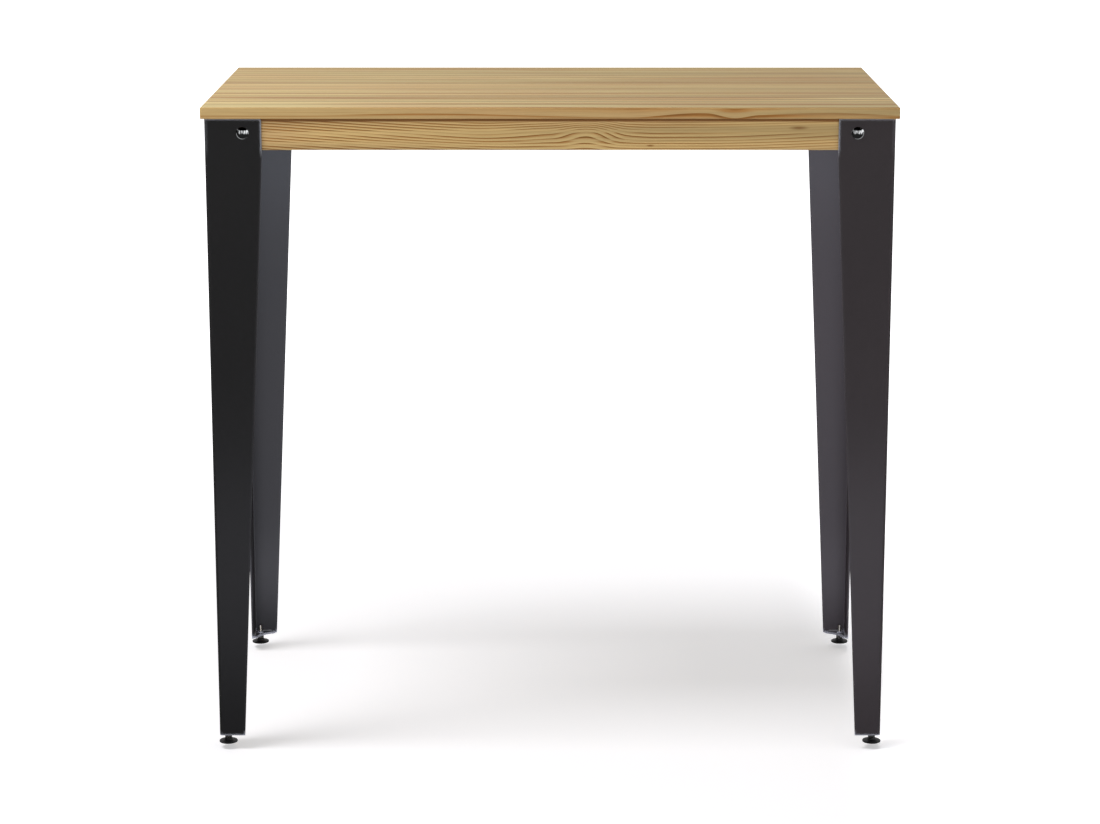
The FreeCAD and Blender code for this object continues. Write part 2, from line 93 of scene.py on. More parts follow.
def length(name, description, default):
    """A setting for a length."""
    return bpy.props.FloatProperty(
        name=name, description=description, default=default, min=0, precision=5,
        subtype="DISTANCE", unit="LENGTH")


def share(name, description, default):
    """A setting for a share of the whole."""
    return bpy.props.FloatProperty(
        name=name, description=description, default=default, min=0, max=1, subtype="FACTOR")


def strength(name, description, default):
    """A setting for the strength of a light that has no watts."""
    return bpy.props.FloatProperty(name=name, description=description, default=default, min=0)


def power(name, description, default):
    """A setting for a lamp's power in watts."""
    return bpy.props.FloatProperty(
        name=name, description=description, default=default, min=0, subtype="POWER", unit="POWER")


def colour(name, description, code):
    """A setting for a colour, given as sRGB hex."""
    return bpy.props.FloatVectorProperty(
        name=name, description=description, default=linear(code), size=3, min=0, max=1,
        subtype="COLOR")


class WoodSettings(bpy.types.PropertyGroup):
    early: colour("Earlywood", "Colour of the wide pale part of the frame's year rings", "d9b97a")
    board_early: colour(
        "Board earlywood", "Colour of the wide pale part of the board's year rings", "ccb881")
    amber: colour("Amber", "Colour that each year ring deepens to before its latewood", "ba8a4c")
    late: colour("Latewood", "Colour of the thin dark part of each year ring", "946225")
    warm: colour("Warm patches", "Colour that the pine drifts to in patches", "c7a474")
    beech: colour("Beech", "Colour of the dowels", "cda579")
    drift: length("Drift", "How far the year rings wander along a board", 3.5 * MM)
    relief: length("Relief", "How far the latewood stands out of the planed face", 0.05 * MM)
    roughness: share("Roughness", "Roughness of the satin lacquer", 0.5)


class SteelSettings(bpy.types.PropertyGroup):
    coat: colour("Powder coat", "Colour of the legs", "151516")
    # Painted light: the lighter, warmer coat of the right legs, as if they were better lit
    coat_warm: colour(
        "Powder coat, warm", "Colour that the coat drifts to in the right legs", "352e31")
    peel: length("Orange peel", "Spacing of the coat's fine waves", 1.6 * MM)
    peel_depth: length("Peel depth", "Depth of the coat's fine waves", 0.02 * MM)
    # Painted highlight: the pale line along the legs' cut edges, how far it reaches and how strong
    coat_edge: colour("Powder coat, edge", "Colour of the coat where it is thin", "c6cad4")
    edge: length("Edge", "How far from a cut edge the coat is thin", 6 * MM)
    edge_highlight_strength: share("Edge thinness", "How much of the edge's colour comes through", 1.0)
    coat_roughness: share("Coat roughness", "Roughness of the satin powder coat", 0.42)
    weld: length("Weld", "Leg of the weld beads along the foot plates", 2.2 * MM)
    ripple: length("Weld ripple", "Spacing of the ripples along a weld bead", 1.7 * MM)


class FasteningSettings(bpy.types.PropertyGroup):
    chrome: colour("Chrome", "Colour of the bright plated heads and screws", "dadcde")
    zinc: colour("Zinc", "Colour of the washers, nuts and wood screws", "b9bcbc")
    bolt: length("Bolt", "Diameter of the coach bolts' shank", 8 * MM)
    bolt_length: length("Bolt length", "From under the head to the tip", 35 * MM)
    bolt_head: length("Bolt head", "Diameter of the domed head", 20 * MM)
    bolt_head_height: length("Bolt head height", "Height of the dome with its rim", 5 * MM)
    bolt_pitch: length("Bolt pitch", "Pitch of the coach bolts' thread", 1.25 * MM)
    washer: length("Washer", "Diameter of the washers", 24 * MM)
    nut: length("Nut", "Width of the nuts across their flats", 13 * MM)
    screw: length("Screw", "Diameter of the wood screws' thread", 4 * MM)
    screw_head: length("Screw head", "Diameter of the wood screws' head", 8 * MM)


class FootSettings(bpy.types.PropertyGroup):
    plastic: colour("Plastic", "Colour of the levelling pads", "131314")
    nickel: colour("Nickel", "Colour of the levelling screws", "d6d3cb")
    pad: length("Pad", "Diameter of the levelling pads", 30 * MM)
    stud: length("Stud", "Diameter of the levelling screws", 6 * MM)
    stud_pitch: length("Stud pitch", "Pitch of the levelling screws' thread", 1 * MM)
    hexagon: length("Hexagon", "Width of the spanner hexagon across its flats", 10 * MM)


class StageSettings(bpy.types.PropertyGroup):
    distance: length("Distance", "From the camera to the table's middle", 4.9)
    height: length("Height", "Height of the camera over the feet's undersides", 1.61)
    pitch: bpy.props.FloatProperty(
        name="Pitch", description="How far the camera looks down",
        default=math.radians(12.816), subtype="ANGLE", unit="ROTATION")
    lens: bpy.props.FloatProperty(
        name="Lens", description="Focal length, in millimetres on a frame 36 wide",
        default=96.25, unit="CAMERA")
    room: strength("Room light", "Brightness of the white room", 0.41)
    key: power("Floor key", "The large light that throws the floor's shadow", 640)
    beside: power("Floor light beside", "The light on the floor beside the table", 4.8)
    side: power("Left light", "The soft light high on the left", 84)
    front: power("Front light", "The soft light high in front", 26)
    glow: power("Leg light", "The panels that lift each leg out of the dark", 1.25)
    fastening: power("Fastening light", "The light from below on the washers, nuts and screws", 6)
    floor: strength("Floor glow", "Light that the camera sees the floor give off by itself", 0.415)


class BarTableSettings(bpy.types.PropertyGroup):
    wood: bpy.props.PointerProperty(
        type=WoodSettings, name="Wood", description="The pine and the dowels")
    steel: bpy.props.PointerProperty(
        type=SteelSettings, name="Steel", description="The legs and their welds")
    fastening: bpy.props.PointerProperty(
        type=FasteningSettings, name="Fastenings", description="Bolts, washers, nuts and screws")
    foot: bpy.props.PointerProperty(
        type=FootSettings, name="Feet", description="The levelling feet")
    stage: bpy.props.PointerProperty(
        type=StageSettings, name="Stage", description="The floor, the light and the camera")


def chosen():
    """The settings of this scene's table."""
    return bpy.context.scene.bar_table


# Surfaces

class Surface(NamedTuple):
    """Points with the four-sided and three-sided faces between them."""
    points: np.ndarray
    quads: np.ndarray
    triangles: np.ndarray


def turns(columns):
    """Angles evenly round a full turn."""
    return np.linspace(0, 2 * np.pi, columns, endpoint=False)


def rings(radius, height, columns):
    """Points round the Z axis at angle a: (r cos a, r sin a, z).

    Height has one value for each ring, and radius one for each ring or one for each of its points.
    """
    shape = (len(height), columns)
    radius = np.broadcast_to(np.reshape(radius, (len(height), -1)), shape)
    level = np.broadcast_to(np.reshape(height, (len(height), 1)), shape)
    angle = turns(columns)
    return np.stack([radius * np.cos(angle), radius * np.sin(angle), level], axis=-1)


def skin(grid, ring_shaped=False):
    """A closed surface over a grid whose columns go round.

    Each quad joins two neighbours of one ring to the same two of the next ring. A ring-shaped
    surface also joins its last ring to its first; any other has a fan from each end ring to
    that ring's middle.
    """
    count, columns, _ = grid.shape
    index = np.arange(count * columns).reshape(count, columns)
    if ring_shaped:
        index = np.vstack([index, index[:1]])
    ahead = np.roll(index, -1, axis=1)
    quads = np.stack([index[:-1], ahead[:-1], ahead[1:], index[1:]], axis=-1).reshape(-1, 4)
    points = grid.reshape(-1, 3)
    if ring_shaped:
        return Surface(points, quads, np.empty((0, 3), int))
    first, last = np.full((2, columns), [[len(points)], [len(points) + 1]])
    triangles = np.vstack([
        np.stack([first, ahead[0], index[0]], axis=-1),
        np.stack([last, index[-1], ahead[-1]], axis=-1),
    ])
    return Surface(np.vstack([points, grid[[0, -1]].mean(axis=1)]), quads, triangles)


def joined(surfaces):
    """Several surfaces as one, each with its faces counted on from the last one's points."""
    starts = np.cumsum([0] + [len(surface.points) for surface in surfaces[:-1]])
    return Surface(
        np.vstack([surface.points for surface in surfaces]),
        np.vstack([surface.quads + start for surface, start in zip(surfaces, starts)]),
        np.vstack([surface.triangles + start for surface, start in zip(surfaces, starts)]),
    )


def copies(surface, places):
    """A surface stood at several places, each a point and the directions of its X, Y and Z axes."""
    return joined([surface._replace(points=surface.points @ axes + point) for point, axes in places])


def arc(centre, radius, start, end, steps):
    """Points (r, z) on an arc about a centre, its angles in degrees from the r axis towards z."""
    angle = np.radians(np.linspace(start, end, steps))
    return np.stack(
        [centre[0] + radius * np.cos(angle), centre[1] + radius * np.sin(angle)], axis=-1)


def thread(major, depth, pitch, bottom, top, columns, rows_per_turn, lead):
    """A threaded rod between two heights, as rings.

    Its radius is the minor radius plus the depth times a blunt triangle wave of
    z / pitch - a / 2 pi, and the wave rises from nothing over the lead at either end.
    """
    height = np.linspace(bottom, top, int((top - bottom) / pitch * rows_per_turn) + 1)
    phase = (height[:, None] / pitch - turns(columns) / (2 * np.pi)) % 1
    wave = np.clip(1.3 * (1 - np.abs(2 * phase - 1)) - 0.1, 0, 1)
    ends = np.clip(np.minimum(height - bottom, top - height) / lead, 0, 1)[:, None]
    return rings(major - depth + depth * wave * ends, height, columns)


CROWN_ANGLE = math.radians(30)
CROWN_START_SHARE = 0.475


def crowned_hexagon(width, bottom, top, columns):
    """A hexagon's outside with its corners turned off at both ends, as rings.

    Its radius is the smaller of half the width over the cosine of the angle from the nearest
    flat's middle, and a cone of the crown's angle that starts a little inside the flats.
    """
    flat = width / 2 / np.cos(turns(columns) % (np.pi / 3) - np.pi / 6)
    start = CROWN_START_SHARE * width
    rise = (width / math.sqrt(3) - start) * math.tan(CROWN_ANGLE)
    steps = np.linspace(0, rise, 6)
    height = np.concatenate([bottom + steps, top - steps[::-1]])
    cone = start + np.minimum(height - bottom, top - height)[:, None] / math.tan(CROWN_ANGLE)
    return rings(np.minimum(flat, cone), height, columns)


def add_piece(name, surface, material, body, nodes=(), sharp=35):
    """Makes a piece of the table from a surface, with edges over the sharp angle kept crisp."""
    mesh = bpy.data.meshes.new(name)
    mesh.from_pydata(
        surface.points.tolist(), [], surface.quads.tolist() + surface.triangles.tolist())
    mesh.shade_smooth()
    mesh.set_sharp_from_angle(angle=math.radians(sharp))
    mesh.materials.append(material)
    piece = bpy.data.objects.new(name, mesh)
    bpy.context.scene.collection.objects.link(piece)
    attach(piece, body)
    if nodes:
        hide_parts(*nodes)
    return piece


# Materials

# Settings that many nodes share
TIMES = {"operation": "MULTIPLY"}
TIMES_PLUS = {"operation": "MULTIPLY_ADD"}
EASED = {"interpolation_type": "SMOOTHSTEP"}
COLOURS = {"data_type": "RGBA", "take": "Result_Color"}


def add_node(tree, kind, *values, inputs=None, take=None, **settings):
    """Adds a node with its settings and links, and returns its first output, or the one to take.

    The values go to its first inputs in their order, and inputs names others by identifier. Each
    is another node's output, or a number, colour or vector.
    """
    node = tree.nodes.new(f"ShaderNode{kind}")
    for name, value in settings.items():
        setattr(node, name, value)
    sockets = {socket.identifier: socket for socket in node.inputs}
    given = dict(zip(sockets, values)) | (inputs or {})
    for name, value in given.items():
        if isinstance(value, bpy.types.NodeSocket):
            tree.links.new(value, sockets[name])
        else:
            sockets[name].default_value = value
    if take:
        return {socket.identifier: socket for socket in node.outputs}[take]
    return node.outputs[0] if node.outputs else None


def new_material(name):
    """An empty material, a function that adds nodes to it, and its Object coordinates."""
    material = bpy.data.materials.new(name)
    material.use_nodes = True
    material.node_tree.nodes.clear()
    add = functools.partial(add_node, material.node_tree)
    return material, add, add("TexCoord", take="Object")


def finish_material(add, inputs):
    """Ends a material in a principled shader."""
    add("OutputMaterial", add("BsdfPrincipled", inputs=inputs))


def show(nodes, material):
    """Gives CAD nodes a material."""
    for node in nodes:
        for slot in frame["nodes"][node].material_slots:
            slot.material = material


class Spot(NamedTuple):
    """A rounded place on a board's long face, in millimetres, and how much it does."""
    x: float
    z: float
    reach_x: float
    reach_z: float
    amount: float
    reach_y: float = 1000


class Streak(NamedTuple):
    """A single line along a board, in millimetres, and its strength at both ends of the table."""
    y: float
    width: float
    left: float
    right: float


class Cut(NamedTuple):
    """How one board lay in its tree and what shows in it, in millimetres and shares.

    The heart ran at a place across and up. Ring is a year ring's width, and uneven says how far
    the rings depart from it. Ink is the strength of the latewood, light the board's brightness,
    right that of its right end against its left, and threads the strength of many faint lines.
    Lifts push the rings up, fades weaken the latewood or, below nothing, strengthen it, and the
    knots_and_shade are dark: real knots, and painted shade, such as the painted shadow line under
    the board.
    """
    heart: tuple
    ring: float
    ink: float
    light: float
    threads: float = 0.0
    right: float = 1.0
    lifts: tuple = ()
    fades: tuple = ()
    knots_and_shade: tuple = ()
    streaks: tuple = ()
    uneven: float = 0.0


def spot_fall(add, place, spot, depth):
    """1 at a spot's middle, falling to 0 at its edge."""
    middle = (spot.x * MM, depth, spot.z * MM)
    reach = (spot.reach_x * MM, spot.reach_y * MM, spot.reach_z * MM)
    inside = add("Mapping", place, middle, inputs={"Scale": reach}, vector_type="TEXTURE")
    ball = add("TexGradient", inside, take="Fac", gradient_type="SPHERICAL")
    return add("MapRange", ball, **EASED)


# The pine's patterns: how long along the grain, how wide across it, and how many finer layers.
# The rings wander, and are unevenly wide
WANDER = (550 * MM, 90 * MM, 1.5)
UNEVENNESS = (1100 * MM, 20 * MM, 0)
# The latewood comes and goes, and so does the amber before it
INK = (600 * MM, 8 * MM, 1.5)
AMBER = (500 * MM, 12 * MM, 1)
# A streak is split in strands, and faint threads run the length of the board
STRANDS = (700 * MM, 1.8 * MM, 1)
THREADS = (1300 * MM, 4.2 * MM, 1)
# Real fibres are some hundredths of a millimetre wide. They are drawn coarser, so that they show
FIBRES = (60 * MM, 0.9 * MM, 2)
# Tone drifts in bands the length of the board, and in patches
BANDS = (1600 * MM, 16 * MM, 2.5)
PATCHES = (350 * MM, 50 * MM, 1)

# Shares of a year ring over which it turns golden, then dark, and then pale again
GOLDEN_SHARES = (0.18, 0.86)
DARK_SHARES = (0.64, 0.93)
PALE_SHARES = (0.95, 1)

# How far apart the patterns of two boards are taken, along the grain
SEED_STEP = 2.7
LACQUER_IOR = 1.45


def pine(name, cut, seed, early, depth, crosswise=False):
    """Pine, planed, sanded and finished with a clear satin lacquer.

    To the eye: pale straw earlywood that deepens over each year ring to a thin orange-brown line,
    lines that wander and arch along the board, single darker streaks, knots, broad soft bands,
    and fine fibres along the grain. Spots of painted shade are drawn the same way as the knots.
    """
    wood = chosen().wood
    material, add, place = new_material(name)
    across, up = cut.heart
    start = (seed * SEED_STEP, -across * MM, -up * MM)
    grain = add("Mapping", place, start, (0, 0, -math.pi / 2 if crosswise else 0))

    def pattern(along, width, layers, take="Fac"):
        """Noise drawn out along the grain."""
        stretched = add("VectorMath", grain, (1 / along, 1 / width, 1 / width), **TIMES)
        return add("TexNoise", stretched, take=take,
                   inputs={"Scale": 1, "Detail": layers, "Roughness": 0.5})

    # The rings wander, and lift round what grew in their way
    sway = 2 * wood.drift
    grown = add("VectorMath", pattern(*WANDER, "Color"), (0, sway, sway), grain, **TIMES_PLUS)
    if cut.uneven:
        sway = 2 * cut.uneven * MM
        grown = add("VectorMath", pattern(*UNEVENNESS, "Color"), (0, sway, sway), grown,
                    **TIMES_PLUS)
    for spot in cut.lifts:
        fall = spot_fall(add, place, spot, depth)
        grown = add("VectorMath", fall, (0, 0, -spot.amount * MM), grown, **TIMES_PLUS)

    # Each ring deepens to amber, then to its latewood, and starts pale again. The node's rings
    # are pi / 10 wide at a scale of 1
    year = add("TexWave", grown, math.pi / 10 / (cut.ring * MM), take="Fac",
               wave_type="RINGS", rings_direction="X", wave_profile="SAW")
    fresh = add("MapRange", year, *PALE_SHARES, 1, 0, **EASED)
    ink = add("MapRange", pattern(*INK), 0.36, 0.62, 0.22 * cut.ink, 1.25 * cut.ink, **EASED)
    for spot in cut.fades:
        fall = spot_fall(add, place, spot, depth)
        ink = add("Math", ink, add("MapRange", fall, 0, 1, 1, 1 - spot.amount, **EASED), **TIMES)
    glow = add("MapRange", pattern(*AMBER), 0.35, 0.65, 0.6, 1.3, **EASED)
    gold = add("MapRange", year, *GOLDEN_SHARES, 0, 1, **EASED)
    for factor in (fresh, glow, ink):
        gold = add("Math", gold, factor, **TIMES)
    dark = add("MapRange", year, *DARK_SHARES, 0, 1, **EASED)
    for factor in (fresh, ink):
        dark = add("Math", dark, factor, **TIMES)

    # Single lines the length of the board, many faint ones, knots and painted shade. The wander
    # moves the rings by its drift on the average, so the lines are moved as far
    sideways = add("SeparateXYZ", grown, take="Y")
    along = add("SeparateXYZ", place, take="X")
    ends = (CAD_BOX[0].x, CAD_BOX[1].x)
    strands = add("MapRange", pattern(*STRANDS), 0.35, 0.62, 0.55, 1.3, **EASED)
    for streak in cut.streaks:
        middle = (streak.y - across) * MM + wood.drift
        off = add("Math", add("Math", sideways, middle, operation="SUBTRACT"), operation="ABSOLUTE")
        line = add("MapRange", off, streak.width / 5 * MM, streak.width / 2 * MM, 1, 0, **EASED)
        growth = add("MapRange", along, *ends, streak.left, streak.right, **EASED)
        for factor in (growth, strands):
            line = add("Math", line, factor, **TIMES)
        dark = add("Math", dark, line, operation="MAXIMUM")
    threads = add("MapRange", pattern(*THREADS), 0.56, 0.72, 0, cut.threads, **EASED)
    dark = add("Math", dark, threads, operation="MAXIMUM")
    for spot in cut.knots_and_shade:
        fall = spot_fall(add, place, spot, depth)
        dark = add("Math", fall, spot.amount, dark, **TIMES_PLUS)

    shade = (*early, 1)
    patches = add("MapRange", pattern(*PATCHES), 0.4, 0.68, 0, 0.5, **EASED)
    for factor, towards in ((patches, wood.warm), (gold, wood.amber), (dark, wood.late)):
        shade = add("Mix", factor, inputs={"A_Color": shade, "B_Color": (*towards, 1)}, **COLOURS)

    # Knots, and the painted shade listed with them, are darker than latewood, and open end grain
    # drinks the lacquer and turns darker
    fibres = pattern(*FIBRES)
    axis = (0, 1, 0) if crosswise else (1, 0, 0)
    facing = add("VectorMath", add("NewGeometry", take="Normal"), axis, take="Value",
                 operation="DOT_PRODUCT")
    facing = add("Math", facing, operation="ABSOLUTE")
    light = add("MapRange", pattern(*BANDS), 0.36, 0.64, 0.82, 1.11, **EASED)
    for steps in (
        (fibres, 0.3, 0.7, 0.94, 1.06),
        # The ramp from the left end to the right; on the front apron it is painted shade
        (along, *ends, 1, cut.right),
        (dark, 1, 2, 1, 0.62),
        (facing, 0.6, 0.95, cut.light, 0.8 * cut.light),
    ):
        light = add("Math", light, add("MapRange", *steps, **EASED), **TIMES)
    shade = add("VectorMath", shade, inputs={"Scale": light}, operation="SCALE")

    height = add("Math", add("Math", fibres, dark, operation="ADD"), 0.5, **TIMES)
    gloss = (wood.roughness + 0.04, wood.roughness - 0.06)
    finish_material(add, {
        "Base Color": shade,
        "Roughness": add("MapRange", dark, 0, 1, *gloss, **EASED),
        "IOR": LACQUER_IOR,
        "Normal": add("Bump", inputs={"Height": height, "Distance": wood.relief, "Strength": 1}),
    })
    return material


# Flecks in beech are about 0.4 mm wide and 2 mm long. The dowels all lie along Y
BEECH_FLECK = (0.4 * MM, 2 * MM, 0.4 * MM)


def beech(name):
    """Beech, turned and fluted dowel rod, raw.

    To the eye: an even pinkish tan with short darker flecks.
    """
    material, add, place = new_material(name)
    flecks = add("VectorMath", place, tuple(1 / size for size in BEECH_FLECK), **TIMES)
    noise = add("TexNoise", flecks, inputs={"Scale": 1, "Detail": 1})
    shade = add("VectorMath", tuple(chosen().wood.beech), operation="SCALE",
                inputs={"Scale": add("MapRange", noise, 0.55, 0.7, 1, 0.78)})
    finish_material(add, {"Base Color": shade, "Roughness": 0.62, "IOR": LACQUER_IOR})
    return material


# How far the coat's tone drifts at random from its painted lit share, either way, and over what
# distance, in metres
COAT_DRIFT = 0.08
COAT_PATCH = 1 / 3
COAT_IOR = 1.5


def powder_coat(name, lit_share):
    """Polyester powder coat on steel, sprayed and baked.

    To the eye: near black with a soft satin sheen, a fine orange peel that breaks up reflections,
    the least drift of tone, and a painted highlight: a paler bluish line along the cut edges, round
    the leg's head and at its foot, as if they caught the light. The legs on the right are given a
    lighter, warmer coat, which is painted light too.
    """
    steel = chosen().steel
    material, add, place = new_material(name)
    # Painted light: the right legs' coat is lighter and warmer, as if better lit; noise drifts it a
    # little
    tone = add("TexNoise", place, inputs={"Scale": 1 / COAT_PATCH, "Detail": 2, "Roughness": 0.6})
    warm = add("MapRange", tone, 0.3, 0.7,
               max(lit_share - COAT_DRIFT, 0), min(lit_share + COAT_DRIFT, 1))
    shade = add("Mix", warm, **COLOURS,
                inputs={"A_Color": (*steel.coat, 1), "B_Color": (*steel.coat_warm, 1)})

    # Painted highlight: near an edge the rounded normal leaves the straight one, and there the
    # coat's colour is mixed towards a pale bluish line, as if the edge caught the light
    straight = add("NewGeometry", take="Normal")
    rounded = add("Bevel", steel.edge, samples=4)
    alike = add("VectorMath", rounded, straight, take="Value", operation="DOT_PRODUCT")
    thin = add("MapRange", alike, 0.84, 0.98, steel.edge_highlight_strength, 0)

    # The painted edge highlight shows from a little under the apron upwards,
    # and at the leg's very end
    level = add("SeparateXYZ", place, take="Z")
    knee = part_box("front_apron")[0].z
    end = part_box("front_left_leg")[0].z
    high = add("MapRange", level, knee - 12 * MM, knee + 3 * MM, 0.03, 0.6)
    low = add("MapRange", level, end + 10 * MM, end + 2 * MM, 0, 0.9)
    thin = add("Math", thin, add("Math", high, low, operation="MAXIMUM"), **TIMES)
    shade = add("Mix", thin, **COLOURS,
                inputs={"A_Color": shade, "B_Color": (*steel.coat_edge, 1)})

    peel = add("TexNoise", place, inputs={"Scale": 1 / steel.peel, "Detail": 2.5, "Roughness": 0.6})
    gloss = (steel.coat_roughness - 0.05, steel.coat_roughness + 0.05)
    finish_material(add, {
        "Base Color": shade,
        "Roughness": add("MapRange", peel, 0.3, 0.7, *gloss),
        "IOR": COAT_IOR,
        "Normal": add("Bump", inputs={"Height": peel, "Distance": steel.peel_depth, "Strength": 1}),
    })
    return material


def plated(name, tint, low, high, grit):
    """Plated steel: a metal whose roughness drifts between two values, in patches of its grit."""
    material, add, place = new_material(name)
    noise = add("TexNoise", place, inputs={"Scale": 1 / grit, "Detail": 3, "Roughness": 0.6})
    shade = add("VectorMath", tuple(tint), operation="SCALE",
                inputs={"Scale": add("MapRange", noise, 0.3, 0.7, 1, 0.9)})
    rough = add("MapRange", noise, 0.35, 0.65, low, high)
    finish_material(add, {"Base Color": shade, "Metallic": 1, "Roughness": rough})
    return material


def chrome_plate():
    """Chrome plate on polished steel. To the eye: a dark mirror with hard white streaks."""
    return plated("chrome_plate", chosen().fastening.chrome, 0.05, 0.09, 4 * MM)


def nickel_plate():
    """Nickel plate on rolled steel. To the eye: a bright, slightly yellow gloss with soft edges."""
    return plated("nickel_plate", chosen().foot.nickel, 0.18, 0.26, 1 * MM)


def zinc_plate():
    """Zinc plate on turned and pressed steel. To the eye: a soft, cloudy blue-gray sheen."""
    return plated("zinc_plate", chosen().fastening.zinc, 0.28, 0.4, 1.5 * MM)


# The mould's spark texture: the width and depth of its grit
SPARK_GRIT = 0.5 * MM
SPARK_DEPTH = 0.02 * MM
NYLON_IOR = 1.53


def moulded_nylon():
    """Black nylon, injection moulded with a fine spark texture.

    To the eye: deep black, dull and even.
    """
    material, add, place = new_material("moulded_nylon")
    grit = add("TexNoise", place, inputs={"Scale": 1 / SPARK_GRIT, "Detail": 2})
    finish_material(add, {
        "Base Color": (*chosen().foot.plastic, 1),
        "Roughness": add("MapRange", grit, 0.3, 0.7, 0.4, 0.52),
        "IOR": NYLON_IOR,
        "Normal": add("Bump", inputs={"Height": grit, "Distance": SPARK_DEPTH, "Strength": 1}),
    })
    return material


# Where the fastenings go, as the parts that they hold have it

BOLT_REACH = 60 * MM
BOLT_DROP = 23 * MM
PLATE_THICKNESS = 3 * MM
APRON_THICKNESS = 20 * MM
SCREW_HEAD_HEIGHT = 2.6 * MM
# In shares of the board's length along the long aprons, and of a stave's width along the others
LONG_SCREW_SHARES = (-0.35, -0.13, 0.13, 0.35)
SHORT_SCREW_SHARES = (-1.5, 1.5)


def corner_of(corner):
    """A corner's side along X and Y, and its leg's outer corner."""
    low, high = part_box(f"{corner}_leg")
    side = 1 if high.x > -low.x else -1
    depth = 1 if high.y > -low.y else -1
    outer = np.array([high.x if side > 0 else low.x, high.y if depth > 0 else low.y, high.z])
    return side, depth, outer


def plate_places(inwards):
    """A place on both plates of each leg at its bolt's hole, so far in, with Z inwards."""
    places = []
    for corner in CORNERS:
        side, depth, outer = corner_of(corner)
        for point, into in (
            ((-side * BOLT_REACH, 0, -BOLT_DROP), (0, -depth, 0)),
            ((0, -depth * BOLT_REACH, -BOLT_DROP), (-side, 0, 0)),
        ):
            into = np.array(into, float)
            axes = np.stack([np.cross(UP, into), UP, into])
            places.append((outer + point + into * inwards, axes))
    return places


def screw_places():
    """A place for each wood screw, at its head's seat, upright."""
    board_low, board_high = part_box(STAVES[0])
    long_low, long_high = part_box("front_apron")
    short_low, short_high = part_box("left_apron")
    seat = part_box("top_screws")[0].z + SCREW_HEAD_HEIGHT
    long_y = (long_low.y + long_high.y) / 2
    short_x = (short_low.x + short_high.x) / 2
    spots = [
        (part * (board_high.x - board_low.x), depth * long_y)
        for depth in (-1, 1) for part in LONG_SCREW_SHARES
    ]
    spots += [
        (x, part * (board_high.y - board_low.y))
        for x in (short_x, 0, -short_x) for part in SHORT_SCREW_SHARES
    ]
    return [(np.array([x, y, seat]), UPRIGHT) for x, y in spots]


def foot_places(part):
    """Each corner, with the lower middle of its foot's part and that part's height."""
    for corner in CORNERS:
        low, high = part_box(f"{corner}_{part}")
        yield corner, np.array([(low.x + high.x) / 2, (low.y + high.y) / 2, low.z]), high.z - low.z


# The pine, piece by piece: where each board's heart ran, its rings, and what stands out

BOARD_CUTS = (
    Cut((-330, 853), 16, 0.62, 0.99, 0.3,
        lifts=(Spot(-200, 1043, 300, 60, 5, 14), Spot(232, 1043, 110, 60, 7, 14),
               Spot(288, 1043, 42, 60, -6, 14), Spot(430, 1043, 200, 60, 7, 14)),
        fades=(Spot(-560, 1040, 560, 200, 0.9), Spot(240, 1040, 150, 200, -1),
               Spot(480, 1040, 300, 200, -0.7), Spot(288, 1055, 80, 12, 1.0, 14),
               Spot(-160, 1038, 220, 8, 0.55, 14)),
        # Painted shade: the first spot darkens the board's whole front edge against its top, and the
        # second paints a shadow line along the edge's foot
        knots_and_shade=(Spot(-200, 1042, 3000, 70, 0.46, 12), Spot(0, 1032, 4000, 3.5, 1.3, 12)),
        streaks=(Streak(-254, 11, 0.02, 0.6), Streak(-228, 11, 0.15, 0.6))),
    Cut((-160, 985), 6.5, 0.5, 1.0, 0.6, 1.05,
        streaks=(Streak(-151, 19, 0.9, 1.1), Streak(-186, 12, 0.15, 0.7),
                 Streak(-209, 11, 0.3, 0.5))),
    Cut((-60, 1008), 5.5, 0.5, 0.97, 0.6, 1.05,
        streaks=(Streak(-98, 19, 1.0, 1.15), Streak(-118, 11, 0.2, 0.6), Streak(-130, 11, 0.3, 0.4))),
    Cut((-42, 1120), 7.0, 0.55, 0.99, 0.6, 1.05,
        streaks=(Streak(-40, 19, 0.4, 1.0), Streak(-58, 11, 0.2, 0.4), Streak(-14, 11, 0.3, 0.3))),
    Cut((70, 980), 6.0, 0.5, 0.96, 0.6, 1.05,
        streaks=(Streak(10, 11, 0.2, 0.5), Streak(48, 19, 0.6, 0.9), Streak(30, 11, 0.2, 0.4))),
    Cut((120, 1118), 6.5, 0.5, 0.97, 0.6, 1.05,
        streaks=(Streak(91, 15, 0.4, 0.5), Streak(127, 20, 0.2, 1.0))),
    Cut((240, 1000), 5.5, 0.5, 0.96, 0.6, 1.05,
        streaks=(Streak(160, 15, 0.4, 0.4), Streak(196, 15, 0.2, 0.5))),
    Cut((262, 975), 7.5, 0.5, 0.97, 0.6, 1.05, streaks=(Streak(246, 15, 0.2, 0.3),)),
)

LONG_CUTS = {
    "front_apron": Cut(
        # Painted shade: the apron's right end is darker, as if the light fell from the left
        (-262, 858), 4.7, 1.0, 0.9, right=0.89, uneven=2.4,
        lifts=(Spot(-640, 1010, 640, 300, 34), Spot(20, 1014, 150, 44, 9),
               Spot(62, 1014, 62, 40, 9), Spot(690, 1010, 450, 300, 13)),
        fades=(Spot(-330, 1010, 330, 200, -0.6), Spot(520, 1010, 520, 200, 0.35)),
        # Two real knots, and a painted shadow line along the apron's top, under the board
        knots_and_shade=(Spot(158, 991, 9, 2.5, 1.0), Spot(392, 1019, 21, 4.5, 0.8),
               Spot(0, 1032, 4000, 4.5, 1.6))),
    "back_apron": Cut(
        (262, 1180), 5.0, 0.9, 0.94,
        lifts=(Spot(620, 1010, 620, 300, 30), Spot(-150, 1004, 120, 60, -15))),
}

